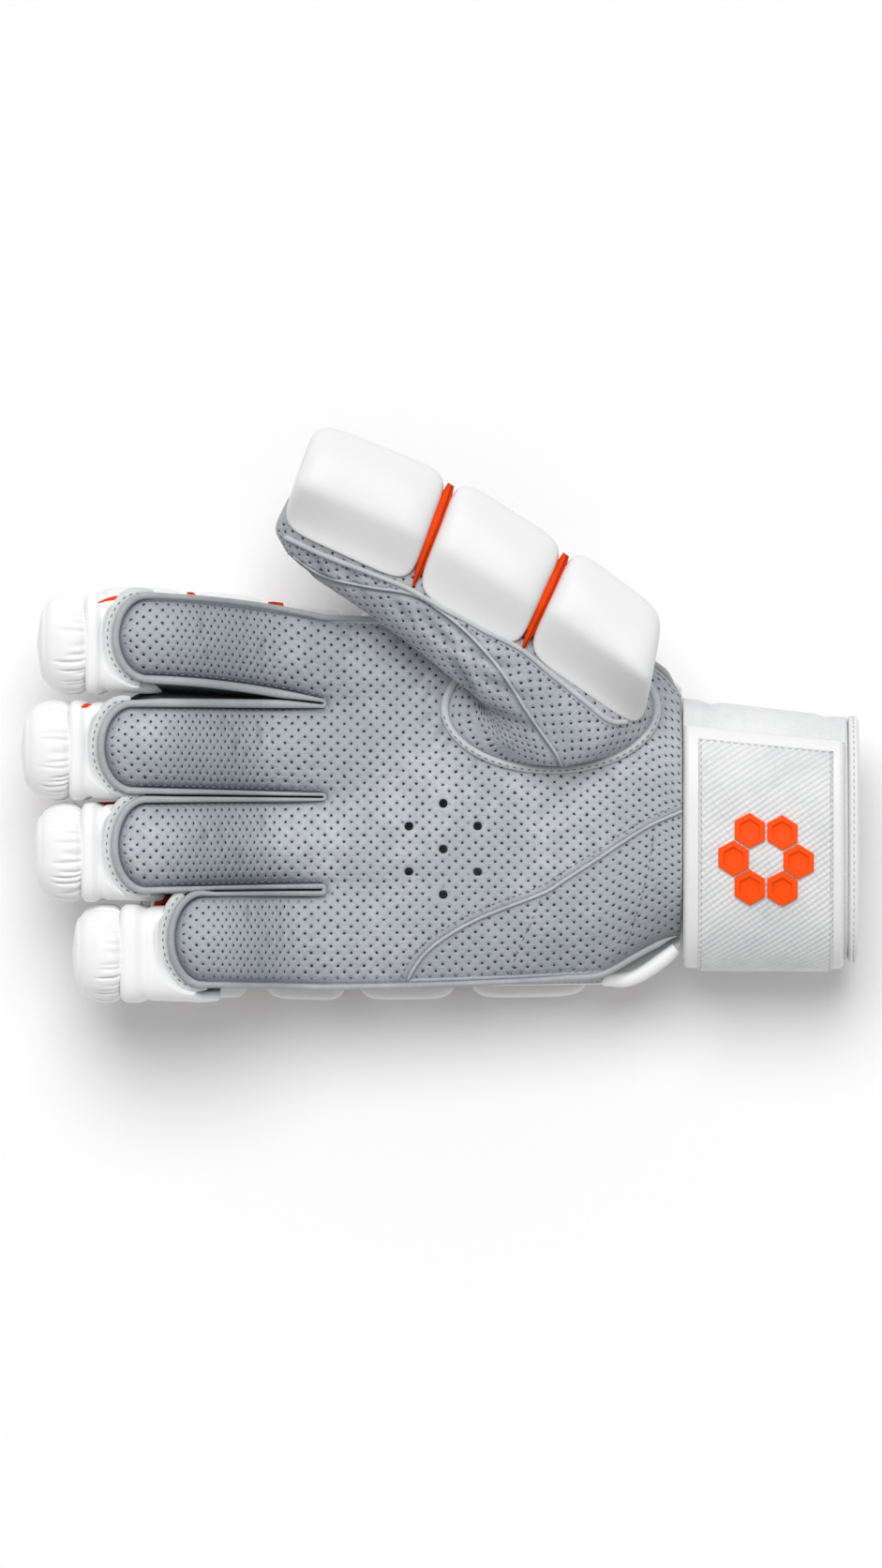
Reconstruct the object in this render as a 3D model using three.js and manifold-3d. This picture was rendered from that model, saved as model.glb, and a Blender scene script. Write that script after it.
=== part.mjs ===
// A right-hand cricket batting glove lying on its padded back, palm up. The fingers
// point along -X, the cuff along +X and the thumb towards +Y. Millimetres, +Z up. The
// origin is on the surface that the glove rests on, under the middle of the glove.
//
// The hand part is a hollow shell: a perforated palm leather in front, a back leather
// behind and a leather side wall round each finger. The thumb is a sleeve of its own,
// sewn into an oval opening of the palm. Padded blocks in coloured gussets cover the
// back, gathered caps cover the fingertips, and a strap closes over the elastic cuff.
import * as THREE from "three";
import { mergeVertices } from "three/addons/utils/BufferGeometryUtils.js";
import Module from "manifold-3d";

const wasm = await Module();
wasm.setup();

// Driving dimensions of the hand.
const GAP = 0.35; // kept between neighbouring pieces
const LEATHER = 1.8; // palm and back leather with their lining
const WALL = 1.5; // finger side walls
const WEB_X = -37.4; // the line on which the fingers part
const PALM_LENGTH = 114.9; // from that line to the cuff's seam
const PALM_WIDTH = 118; // across the roots of the four fingers
const PALM_Y = -26.6; // the middle of that width
const HAND_DEPTH = 29; // the hollow between the back and the palm
const FINGER_REACH = 69.8; // from the web to the end of the middle finger's leather
const FINGER_DEPTH = 19.6; // the hollow of a finger at its edges
const TIP_ROUND = 9; // length over which a fingertip rounds off
const CURL = 19; // how far the fingertips are lifted towards the palm side
const CROWN = 6.5; // roundness of a finger's palm side
const BACK_CROWN = 1.5; // roundness of a finger's back
const SIDE_LEAN = 1.1; // a side wall's foot stands out this far
const TIP_LEAN = 4.5; // and this far at the fingertip
const WALL_RIDGE = 0.7; // the wall's sewn ridge

// Driving dimensions of the padding.
const PAD = 15.6; // padded blocks on the back of the hand
const FINGER_PAD = 13; // padded blocks on the fingers
const GUSSET = 1.2; // the coloured cloth under the blocks
const GUSSET_SHARE = 0.95; // its width, a share of the finger's
const FOLD_DEPTH = 0.6; // how deep it is folded between two blocks, a share of the block
const FOLD_ENDS = 0.75; // and at the ends of the fold, a share of that
const PAD_SPACING = 2.6; // the open groove between two blocks
const PAD_INSET = 0.4; // a block's side stands back this far from its finger's
const OUTER_LIFT = 1.5; // the outer fingers' blocks stay clear of the surface
const CAP_LENGTH = 15.2; // a fingertip cap, from its collar to its end
const CAP_HEIGHT = 34;
const CAP_RISE = 46; // the height of the middle of the caps
const COLLAR_WING = 5.5; // how far a collar reaches along the sides of its finger
const COLLAR_LIP = 2; // a collar stands this far above the leather's edge
const PLEATS = 10; // gathers round a cap
const PLEAT_DEPTH = 0.7;

// Driving dimensions of the thumb.
const OPENING_X = 35.5; // the middle of its oval opening in the palm
const OPENING_Y = 2.1;
const OPENING_LENGTH = 65.8;
const OPENING_WIDTH = 36.8;
const THUMB_TURN = 144.4; // degrees, the way in which the thumb points
const THUMB_LENGTH = 108; // from the opening's middle to the end of the thumb
const THUMB_RADIUS = 15.2;
const THUMB_RISE = 59; // the height of the thumb's own axis
const THUMB_PAD_WIDTH = 36;
const THUMB_PAD_HEIGHT = 30;
const THUMB_PAD_RISE = 68; // the height of the middle of the thumb's blocks
const THUMB_SPACING = 5; // the open groove between two of them
const WELT = 1.3; // radius of the raised seam round the opening

// Driving dimensions of the cuff.
const CUFF_LENGTH = 52.6;
const CUFF_WALL = 3;
const CUFF_HALF_WIDTH = 42;
const CUFF_HALF_DEPTH = 23;
const CUFF_TAPER = 0.93; // the cuff's far end, a share of its near one
const CUFF_TURN = -3.5; // degrees
const CUFF_Y = -36.2;
const CUFF_Z = 31.6;
const HEM = 3.4; // length of the turned edge
const HEM_STEP = 0.8; // the turned edge stands out this far
const STRAP = 2.4;
const STRAP_LENGTH = 51.2;
const PATCH = 0.9;
const PATCH_LENGTH = 43.2;
const BADGE = 1.1;
const BADGE_CELL = 6.1; // radius of one of the badge's six cells
const ROLL = 2.4; // radius of the roll beside the heel

const BACK_OUTER = PAD + GAP + GUSSET + GAP;
const PALM_BASE = BACK_OUTER + 2 * LEATHER;

const palmColour = { color: 0xb9bec3, roughness: 0.8, metalness: 0 };
const whiteColour = { color: 0xf2f2f2, roughness: 0.45, metalness: 0 };
const orangeColour = { color: 0xff4a05, roughness: 0.55, metalness: 0 };

// Finger lanes, from the little finger's side up. root and tip are the places of the
// middle line across the palm, and bow its sideways bend; rootHalf and tipHalf are half
// widths; padOut widens the blocks on one side; cap, capHalf and overhang are the place,
// the half width and the far end of the fingertip cap past the leather: all shares of
// PALM_WIDTH. reach is a share of FINGER_REACH. bendFrom and bendTo say where along the
// finger its palm side curls. firstPad, knuckle and root joints are the grooves between
// the blocks, as distances from the web, shares of FINGER_REACH.
const lanes = [
  { name: "little", root: -0.384, tip: -0.378, bow: 0, rootHalf: 0.12, tipHalf: 0.115,
    padOut: -0.037, cap: -0.419, capHalf: 0.134, overhang: 0.28, reach: 0.679,
    bendFrom: 0.1, bendTo: 0.7, padEnd: 0.75, farGroove: 0.5, nearGroove: 0.27 },
  { name: "ring", root: -0.1186, tip: -0.126, bow: 0, rootHalf: 0.112, tipHalf: 0.115,
    padOut: 0, cap: -0.145, capHalf: 0.135, overhang: 0.233, reach: 0.937,
    bendFrom: 0.15, bendTo: 0.75, padEnd: 0.965, farGroove: 0.585, nearGroove: 0.2 },
  { name: "middle", root: 0.1305, tip: 0.1415, bow: 0, rootHalf: 0.115, tipHalf: 0.1085,
    padOut: 0, cap: 0.131, capHalf: 0.136, overhang: 0.229, reach: 1,
    bendFrom: 0.2, bendTo: 0.75, padEnd: 1.02, farGroove: 0.6, nearGroove: 0.2 },
  { name: "index", root: 0.378, tip: 0.438, bow: 0.0165, rootHalf: 0.107, tipHalf: 0.1035,
    padOut: 0.027, cap: 0.421, capHalf: 0.138, overhang: 0.2245, reach: 0.933,
    bendFrom: 0.15, bendTo: 0.75, padEnd: 0.96, farGroove: 0.545, nearGroove: 0.195 },
];
const KNUCKLE_GROOVE = -0.13; // grooves across the back of the hand, shares of the same
const HAND_GROOVE = -0.64;
const WRIST_GROOVE = -1.25;

// How the back of a finger curls: shares of CURL at the near and at the far groove.
const NEAR_CURL = 0.07;
const FAR_CURL = 0.52;

// Sections of the palm from the web (at 0) to the cuff's seam (at 1). upper and lower
// are the edges of the palm leather, backUpper and backLower those of the back leather,
// shares of PALM_WIDTH from its middle. level is the height of the palm leather over the
// back one, drop the fall of its edges, sink and rise the same for the back leather, and
// ridges the height left of the fingers' round tops: shares of HAND_DEPTH.
const palmSections = [
  { at: 0, upper: 0.485, lower: -0.504, backUpper: 0.5, backLower: -0.516,
    level: 0.86, drop: 0.14, sink: 0, rise: 0.03, ridges: 0.1 },
  { at: 0.14, upper: 0.48, lower: -0.502, backUpper: 0.496, backLower: -0.515,
    level: 0.93, drop: 0.24, sink: 0, rise: 0.05, ridges: 0.05 },
  { at: 0.42, upper: 0.463, lower: -0.494, backUpper: 0.481, backLower: -0.511,
    level: 1, drop: 0.36, sink: 0, rise: 0.12, ridges: 0 },
  { at: 0.67, upper: 0.435, lower: -0.48, backUpper: 0.452, backLower: -0.507,
    level: 1.06, drop: 0.45, sink: 0, rise: 0.25, ridges: 0 },
  { at: 0.78, upper: 0.412, lower: -0.468, backUpper: 0.428, backLower: -0.505,
    level: 1.09, drop: 0.51, sink: 0.04, rise: 0.33, ridges: 0 },
  { at: 0.87, upper: 0.382, lower: -0.42, backUpper: 0.398, backLower: -0.495,
    level: 1.12, drop: 0.59, sink: 0.12, rise: 0.47, ridges: 0 },
  { at: 0.94, upper: 0.345, lower: -0.385, backUpper: 0.36, backLower: -0.452,
    level: 1.14, drop: 0.65, sink: 0.2, rise: 0.58, ridges: 0 },
  { at: 1, upper: 0.28, lower: -0.368, backUpper: 0.3, backLower: -0.405,
    level: 1.15, drop: 0.69, sink: 0.29, rise: 0.68, ridges: 0 },
];
const UPPER_WALL_END = 0.94; // where the side walls end along the palm
const LOWER_WALL_END = 0.78;
const EDGE_POWER = 4; // how square the hand's section is

const across = [-1, -0.6, 0, 0.6, 1]; // lattice lines over one finger
const tipTurn = [74, 40, 0]; // degrees round the fingertip

// The seam across the heel of the palm, from the cuff to the lower edge: shares of
// PALM_LENGTH from the web and of PALM_WIDTH from its middle.
const heelSeam = [
  { along: 1.06, across: 0.02 },
  { along: 0.98, across: -0.015 },
  { along: 0.86, across: -0.11 },
  { along: 0.72, across: -0.205 },
  { along: 0.55, across: -0.285 },
  { along: 0.4, across: -0.345 },
  { along: 0.31, across: -0.405 },
  { along: 0.25, across: -0.478 },
  { along: 0.235, across: -0.56 },
];

// A padded block's section, w across it and depth from its seat outwards.
const blockSection = [
  { w: 0, depth: 0 },
  { w: 0.6, depth: 0 },
  { w: 0.85, depth: 0.03 },
  { w: 1, depth: 0.2 },
  { w: 1, depth: 0.75 },
  { w: 0.8, depth: 1 },
  { w: -0.8, depth: 1 },
  { w: -1, depth: 0.75 },
  { w: -1, depth: 0.2 },
  { w: -0.85, depth: 0.03 },
  { w: -0.6, depth: 0 },
];
const BLOCK_END = 0.1; // a block rounds off over this share of its length
const BLOCK_END_SIZE = 0.72;

// Rings of a fingertip cap from its collar to its end, and how deep its gathers are.
const capRings = [
  { at: 0, size: 0.94, pleat: 0.4 },
  { at: 0.25, size: 1, pleat: 1 },
  { at: 0.8, size: 0.76, pleat: 0.8 },
  { at: 0.94, size: 0.5, pleat: 0.4 },
  { at: 1, size: 0.2, pleat: 0 },
];

// Rings of the thumb's sleeve past its oval foot: forward and outward from the opening's
// middle and the radius, shares of THUMB_LENGTH and THUMB_RADIUS; lean in degrees.
const sleeveRings = [
  { forward: 0.045, outward: 0.02, lean: 18, wide: 1.35, high: 1.68, rise: 0.99 },
  { forward: 0.12, outward: 0.04, lean: 45, wide: 1.13, high: 1.3, rise: 1.055 },
  { forward: 0.24, outward: 0.045, lean: 72, wide: 1.03, high: 1.08, rise: 1.09 },
  { forward: 0.4, outward: 0.05, lean: 90, wide: 1, high: 1, rise: 1.05 },
  { forward: 0.62, outward: 0.053, lean: 90, wide: 1, high: 1, rise: 1 },
  { forward: 0.84, outward: 0.05, lean: 90, wide: 0.98, high: 0.98, rise: 1 },
  { forward: 0.93, outward: 0.05, lean: 90, wide: 0.84, high: 0.84, rise: 1 },
  { forward: 0.98, outward: 0.05, lean: 90, wide: 0.58, high: 0.58, rise: 1 },
  { forward: 1, outward: 0.05, lean: 90, wide: 0.22, high: 0.22, rise: 1 },
];

// The line of the thumb's blocks: forward and outward shares of THUMB_LENGTH.
const thumbPadLine = [
  { forward: 1.03, outward: 0.135 },
  { forward: 0.595, outward: 0.22 },
  { forward: 0.21, outward: 0.253 },
  { forward: -0.135, outward: 0.236 },
];

const lerp = (a, b, t) => a + (b - a) * t;
const clamp = (x, low, high) => Math.min(high, Math.max(low, x));
const smooth = (from, to, x) => {
  const t = clamp((x - from) / (to - from), 0, 1);
  return t * t * (3 - 2 * t);
};
const radians = (degrees) => (degrees * Math.PI) / 180;
const vec = (x, y, z) => new THREE.Vector3(x, y, z);
const turns = (n, offset = 0) =>
  Array.from({ length: n }, (_, k) => (2 * Math.PI * (k + offset)) / n);
const squareSin = (angle, power) =>
  Math.sign(Math.sin(angle)) * Math.abs(Math.sin(angle)) ** (2 / power);
const squareCos = (angle, power) =>
  Math.sign(Math.cos(angle)) * Math.abs(Math.cos(angle)) ** (2 / power);

// A value of a table's column at a place, the rows sorted by their key.
function tableValue(rows, key, column, at) {
  const after = rows.findIndex((row) => row[key] >= at);
  const k = clamp(after < 0 ? rows.length - 1 : after, 1, rows.length - 1);
  const [a, b] = [rows[k - 1], rows[k]];
  return lerp(a[column], b[column], (at - a[key]) / (b[key] - a[key]));
}

// A closed body from points and triangles, its faces turned outwards.
function body(points, faces) {
  let volume = 0;
  for (const [a, b, c] of faces)
    volume += points[a].dot(points[b].clone().cross(points[c]));
  const index = faces.flatMap(([a, b, c]) => (volume < 0 ? [a, c, b] : [a, b, c]));
  const geometry = new THREE.BufferGeometry().setFromPoints(points);
  geometry.setIndex(index);
  return geometry;
}

// A body through rings of points, closed at both ends, or at neither if it runs round.
function loft(rings, runsRound = false) {
  const n = rings[0].length;
  const points = rings.flat();
  const faces = [];
  const spans = runsRound ? rings.length : rings.length - 1;
  for (let i = 0; i < spans; i++)
    for (let j = 0; j < n; j++) {
      const next = ((i + 1) % rings.length) * n;
      const k = (j + 1) % n;
      faces.push([i * n + j, i * n + k, next + k], [i * n + j, next + k, next + j]);
    }
  if (runsRound) return body(points, faces);
  for (const end of [0, rings.length - 1]) {
    const middle = rings[end].reduce((sum, p) => sum.add(p), vec(0, 0, 0)).divideScalar(n);
    points.push(middle);
    for (let j = 0; j < n; j++) {
      const edge = [end * n + j, end * n + ((j + 1) % n)];
      faces.push([...(end ? edge : edge.reverse()), points.length - 1]);
    }
  }
  return body(points, faces);
}

// A sheet on a lattice: outer and inner are rows of points, and cells that are not
// present are left open.
function sheet(outer, inner, present = () => true) {
  const rows = outer.length;
  const columns = outer[0].length;
  const points = [...outer.flat(), ...inner.flat()];
  const under = rows * columns;
  const has = (i, j) => i >= 0 && j >= 0 && i < rows - 1 && j < columns - 1 && present(i, j);
  const faces = [];
  const quad = (a, b, c, d) => faces.push([a, b, c], [a, c, d]);
  for (let i = 0; i < rows - 1; i++)
    for (let j = 0; j < columns - 1; j++) {
      if (!has(i, j)) continue;
      const a = i * columns + j;
      const b = a + 1;
      const d = a + columns;
      const c = d + 1;
      quad(a, b, c, d);
      quad(under + c, under + b, under + a, under + d);
      if (!has(i - 1, j)) quad(b, a, under + a, under + b);
      if (!has(i + 1, j)) quad(d, c, under + c, under + d);
      if (!has(i, j - 1)) quad(a, d, under + d, under + a);
      if (!has(i, j + 1)) quad(c, b, under + b, under + c);
    }
  return body(points, faces);
}

// A round bead along a path.
function bead(path, radius, sides, runsRound) {
  const last = path.length - 1;
  const rings = path.map((p, i) => {
    const ahead = path[runsRound ? (i + 1) % path.length : Math.min(i + 1, last)];
    const behind = path[runsRound ? (i + last) % path.length : Math.max(i - 1, 0)];
    const side = ahead.clone().sub(behind).cross(vec(0, 0, 1)).normalize();
    return turns(sides, 0.5).map((angle) =>
      p
        .clone()
        .addScaledVector(side, radius * Math.cos(angle))
        .add(vec(0, 0, radius * Math.sin(angle))),
    );
  });
  return loft(rings, runsRound);
}

function toSolid(geometry) {
  const bare = geometry.clone();
  bare.deleteAttribute("normal");
  bare.deleteAttribute("uv");
  const merged = mergeVertices(bare, 1e-4);
  return new wasm.Manifold(
    new wasm.Mesh({
      numProp: 3,
      vertProperties: new Float32Array(merged.attributes.position.array),
      triVerts: new Uint32Array(merged.index.array),
    }),
  );
}

function toGeometry(solid) {
  const mesh = solid.getMesh();
  const geometry = new THREE.BufferGeometry();
  geometry.setAttribute("position", new THREE.BufferAttribute(mesh.vertProperties, 3));
  geometry.setIndex(new THREE.BufferAttribute(mesh.triVerts, 1));
  return geometry;
}

const cut = (geometry, ...tools) =>
  toGeometry(tools.reduce((left, tool) => left.subtract(toSolid(tool)), toSolid(geometry)));

const join = (...geometries) =>
  toGeometry(geometries.map(toSolid).reduce((sum, next) => sum.add(next)));

const glove = new THREE.Group();

function place(name, geometry, look) {
  const mesh = new THREE.Mesh(geometry, new THREE.MeshStandardMaterial(look));
  mesh.name = name;
  glove.add(mesh);
}

// The palm and the back as surfaces. A place on them is a lane, a distance s from the
// web towards the fingertip (negative on the palm) and a share w across the lane.
const acrossWidth = (share) => PALM_Y + share * PALM_WIDTH;
const reachOf = (lane) => lane.reach * FINGER_REACH;
const palmValue = (column, s) =>
  tableValue(palmSections, "at", column, clamp(-s / PALM_LENGTH, 0, 1));

function laneMiddle(lane, s) {
  const t = s / reachOf(lane);
  return acrossWidth(lerp(lane.root, lane.tip, t) + lane.bow * 4 * t * (1 - t));
}

const laneWidth = (lane, s) =>
  PALM_WIDTH * lerp(lane.rootHalf, lane.tipHalf, clamp(s / reachOf(lane), 0, 1));

// How much of the full width is left at s, as the fingertip is round.
function tipShare(lane, s) {
  const intoTip = clamp((s - reachOf(lane) + TIP_ROUND) / TIP_ROUND, 0, 1);
  return Math.sqrt(1 - intoTip ** 2);
}

// Where a point of a lane lies across the whole palm, from 0 at the lower edge to 1.
function palmShare(lane, w) {
  const first = palmSections[0];
  return (lane.root + w * lane.rootHalf - first.lower) / (first.upper - first.lower);
}

const edgeFall = (share) => Math.abs(2 * share - 1) ** EDGE_POWER;

// How much a finger has grown out of the palm, by its near groove.
const grownAt = (lane, s) => clamp(s / (lane.nearGroove * FINGER_REACH), 0, 1);

// The palm leather's outer face.
function palmPoint(lane, s, w) {
  const share = palmShare(lane, w);
  const fall = edgeFall(share);
  if (s < 0) {
    const y = lerp(palmValue("lower", s), palmValue("upper", s), share);
    const height =
      palmValue("level", s) - palmValue("drop", s) * fall + palmValue("ridges", s) * (1 - w * w);
    return vec(WEB_X - s, acrossWidth(y), PALM_BASE + height * HAND_DEPTH);
  }
  const first = palmSections[0];
  const grown = grownAt(lane, s);
  const curl = CURL * smooth(lane.bendFrom, lane.bendTo, s / reachOf(lane));
  const edge = lerp((first.level - first.drop * fall) * HAND_DEPTH, FINGER_DEPTH, grown);
  const crown = lerp(first.ridges * HAND_DEPTH, CROWN, grown) * tipShare(lane, s);
  return vec(
    WEB_X - s,
    laneMiddle(lane, s) + w * laneWidth(lane, s) * tipShare(lane, s),
    PALM_BASE + edge + crown * (1 - w * w) + curl,
  );
}

// How far the back of a finger is lifted, straight between its grooves.
function backCurl(lane, s) {
  const rows = [
    { at: 0, curl: 0 },
    { at: lane.nearGroove * FINGER_REACH, curl: NEAR_CURL },
    { at: lane.farGroove * FINGER_REACH, curl: FAR_CURL },
    { at: reachOf(lane), curl: 1 },
  ];
  return CURL * tableValue(rows, "at", "curl", clamp(s, 0, reachOf(lane)));
}

// The back leather's outer face, which looks down.
function backPoint(lane, s, w) {
  const share = palmShare(lane, w);
  const fall = edgeFall(share);
  if (s < 0) {
    const y = lerp(palmValue("backLower", s), palmValue("backUpper", s), share);
    const height = palmValue("rise", s) * fall - palmValue("sink", s);
    return vec(WEB_X - s, acrossWidth(y), BACK_OUTER + height * HAND_DEPTH);
  }
  const grown = grownAt(lane, s);
  const first = palmSections[0];
  const edge = laneWidth(lane, s) * tipShare(lane, s) + SIDE_LEAN;
  return vec(
    WEB_X - s - (TIP_LEAN * Math.max(0, s)) / reachOf(lane),
    laneMiddle(lane, s) + w * edge,
    BACK_OUTER +
      HAND_DEPTH * first.rise * (1 - grown) * fall -
      BACK_CROWN * grown * (1 - w * w) +
      backCurl(lane, s),
  );
}

// The palm leather's height over any place of the palm.
function palmHeight(x, y) {
  const s = WEB_X - x;
  const lower = acrossWidth(palmValue("lower", s));
  const upper = acrossWidth(palmValue("upper", s));
  const share = clamp((y - lower) / (upper - lower), 0, 1);
  const height = palmValue("level", s) - palmValue("drop", s) * edgeFall(share);
  return PALM_BASE + height * HAND_DEPTH;
}

// Stations along a lane, from the fingertip to the web and on to the cuff's seam.
function stations(lane) {
  const straightEnd = reachOf(lane) - TIP_ROUND;
  const far = lane.farGroove * FINGER_REACH;
  const near = lane.nearGroove * FINGER_REACH;
  return [
    ...tipTurn.map((turn) => straightEnd + TIP_ROUND * Math.sin(radians(turn))),
    lerp(straightEnd, far, 0.5),
    far,
    lerp(far, near, 0.5),
    near,
    0,
    ...palmSections.slice(1).map((row) => -row.at * PALM_LENGTH),
  ];
}

const webStation = stations(lanes[0]).indexOf(0);

function hullSheet(surface, thickness) {
  const count = stations(lanes[0]).length;
  const row = (i, dz) =>
    lanes.flatMap((lane) =>
      across.map((w) => surface(lane, stations(lane)[i], w).add(vec(0, 0, dz))),
    );
  const outer = Array.from({ length: count }, (_, i) => row(i, 0));
  const inner = Array.from({ length: count }, (_, i) => row(i, thickness));
  const onFinger = (j) => j % across.length < across.length - 1;
  return sheet(outer, inner, (i, j) => i >= webStation || onFinger(j));
}

function ovalPrism(x, y, halfX, halfY, sides) {
  const ring = (z) =>
    turns(sides).map((angle) => vec(x + halfX * Math.cos(angle), y + halfY * Math.sin(angle), z));
  return loft([ring(PALM_BASE + HAND_DEPTH / 3), ring(PALM_BASE + HAND_DEPTH * 1.6)]);
}

// Seven vent holes: one, and six round it.
const VENT_X = 1;
const VENT_Y = -42.7;
const VENT_SPACING = 14.6;
const VENT_SQUEEZE = 0.87; // their spacing along the palm, a share of that across it
const VENT_RADIUS = 1.4;
const ventPlaces = [
  vec(VENT_X, VENT_Y, 0),
  ...turns(6, 0.5).map((angle) =>
    vec(
      VENT_X + VENT_SPACING * VENT_SQUEEZE * Math.cos(angle),
      VENT_Y + VENT_SPACING * Math.sin(angle),
      0,
    ),
  ),
];

// A thin upright cut along the heel's seam.
function heelCut() {
  const path = heelSeam.map(({ along, across: share }) =>
    vec(WEB_X + along * PALM_LENGTH, acrossWidth(share), 0),
  );
  const low = vec(0, 0, PALM_BASE);
  const high = vec(0, 0, PALM_BASE + HAND_DEPTH * 1.6);
  const rings = path.map((p, i) => {
    const ahead = path[Math.min(i + 1, path.length - 1)];
    const behind = path[Math.max(i - 1, 0)];
    const side = ahead.clone().sub(behind).cross(vec(0, 0, 1)).setLength(GAP / 2);
    const right = p.clone().add(side);
    const left = p.clone().sub(side);
    return [right.clone().add(low), left.clone().add(low), left.add(high), right.add(high)];
  });
  return loft(rings);
}

// The palm leather, and the heel piece beyond its seam.
const palmPieces = toSolid(
  cut(
    hullSheet(palmPoint, -LEATHER),
    ovalPrism(OPENING_X, OPENING_Y, OPENING_LENGTH / 2, OPENING_WIDTH / 2, 28),
    ...ventPlaces.map(({ x, y }) => ovalPrism(x, y, VENT_RADIUS, VENT_RADIUS, 6)),
    heelCut(),
  ),
)
  .decompose()
  .sort((a, b) => b.volume() - a.volume());
place("palm_panel", toGeometry(palmPieces[0]), palmColour);
place("heel_panel", toGeometry(palmPieces[1]), palmColour);
place("back_panel", hullSheet(backPoint, LEATHER), whiteColour);

// The way of a finger's side wall: out along one side, round the tip and back. The
// outer fingers' walls go on along the palm, the others meet at the web.
function wallPath(lane) {
  const k = lanes.indexOf(lane);
  const fingerStations = stations(lane).slice(0, webStation + 1);
  const edge = (s, w) => ({ top: palmPoint(lane, s, w), foot: backPoint(lane, s, w) });
  const alongPalm = (w, end) =>
    palmSections
      .filter((row) => row.at > 0 && row.at <= end)
      .map((row) => edge(-row.at * PALM_LENGTH, w));
  const atWeb = (w, neighbour) => {
    const s = -WALL - GAP;
    const aside = w * (WALL_RIDGE + GAP / 2);
    const own = edge(s, w);
    own.top.y = (own.top.y + palmPoint(neighbour, s, -w).y) / 2 - aside;
    own.foot.y = (own.foot.y + backPoint(neighbour, s, -w).y) / 2 - aside;
    return [own];
  };
  const below = k ? atWeb(-1, lanes[k - 1]) : alongPalm(-1, LOWER_WALL_END).reverse();
  const above = lanes[k + 1] ? atWeb(1, lanes[k + 1]) : alongPalm(1, UPPER_WALL_END);
  return [
    ...below,
    ...fingerStations.map((s) => edge(s, -1)).reverse(),
    ...fingerStations.map((s) => edge(s, 1)),
    ...above,
  ];
}

function outwardOf(path, part, i) {
  const ahead = path[Math.min(i + 1, path.length - 1)][part];
  const behind = path[Math.max(i - 1, 0)][part];
  const along = ahead.clone().sub(behind);
  return vec(-along.y, along.x, 0).normalize();
}

function sideWall(lane) {
  const path = wallPath(lane);
  const rings = path.map(({ top, foot }, i) => {
    const headOut = outwardOf(path, "top", i);
    const baseOut = outwardOf(path, "foot", i);
    const head = top.clone().sub(vec(0, 0, LEATHER + GAP));
    const base = foot.clone().add(vec(0, 0, LEATHER + GAP));
    const ridge = head.clone().lerp(base, 0.4).addScaledVector(headOut, WALL_RIDGE);
    return [
      head,
      ridge,
      base,
      base.clone().addScaledVector(baseOut, -WALL),
      head.clone().addScaledVector(headOut, -WALL),
    ];
  });
  return loft(rings);
}

for (const lane of lanes) place(`${lane.name}_sidewall`, sideWall(lane), palmColour);

// A place under the back leather: below it by depth, at right angles to its slope. On
// the hand the blocks go straight down.
function underBack(lane, s, w, depth) {
  const p = backPoint(lane, s, clamp(w, -1, 1));
  const middle = backPoint(lane, s, 0).y;
  const half = s > 0 ? laneWidth(lane, s) + SIDE_LEAN : backPoint(lane, s, 1).y - middle;
  const step = 0.5;
  const slope = (backCurl(lane, s + step) - backCurl(lane, s - step)) / (2 * step);
  p.y = middle + w * half;
  return p.add(vec(-slope, 0, -1).setLength(depth));
}

// A padded block between two grooves of a lane.
function block(lane, from, to, onHand) {
  const low = from * FINGER_REACH - PAD_SPACING / 2;
  const high = to * FINGER_REACH + PAD_SPACING / 2;
  const inset = 1 - PAD_INSET / laneWidth(lane, 0);
  const out = (lane.padOut * PALM_WIDTH) / laneWidth(lane, 0);
  const seat = Math.abs(lane.root) > 0.25 ? OUTER_LIFT : 0;
  const ends = [0, BLOCK_END, 1 - BLOCK_END, 1].map((at) => lerp(high, low, at));
  const between = stations(lane).filter((s) => s <= 0 && s < ends[2] - 2 && s > ends[1] + 2);
  const rings = [ends[0], ends[1], ...between.reverse(), ends[2], ends[3]].map((s, i, all) => {
    const size = i % (all.length - 1) ? 1 : BLOCK_END_SIZE;
    return blockSection.map(({ w, depth }) => {
      const wide = w * inset * lerp(1, size, 0.2) + (w * out > 0 && Math.abs(w) > 0.9 ? out : 0);
      const flat = 0.5 + (depth - 0.5) * size;
      const top = underBack(lane, s, wide, GUSSET + 3 * GAP);
      if (onHand) return top.setZ(lerp(top.z, seat, flat));
      return underBack(lane, s, wide, GUSSET + 2 * GAP + FINGER_PAD * flat);
    });
  });
  return loft(rings);
}

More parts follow.
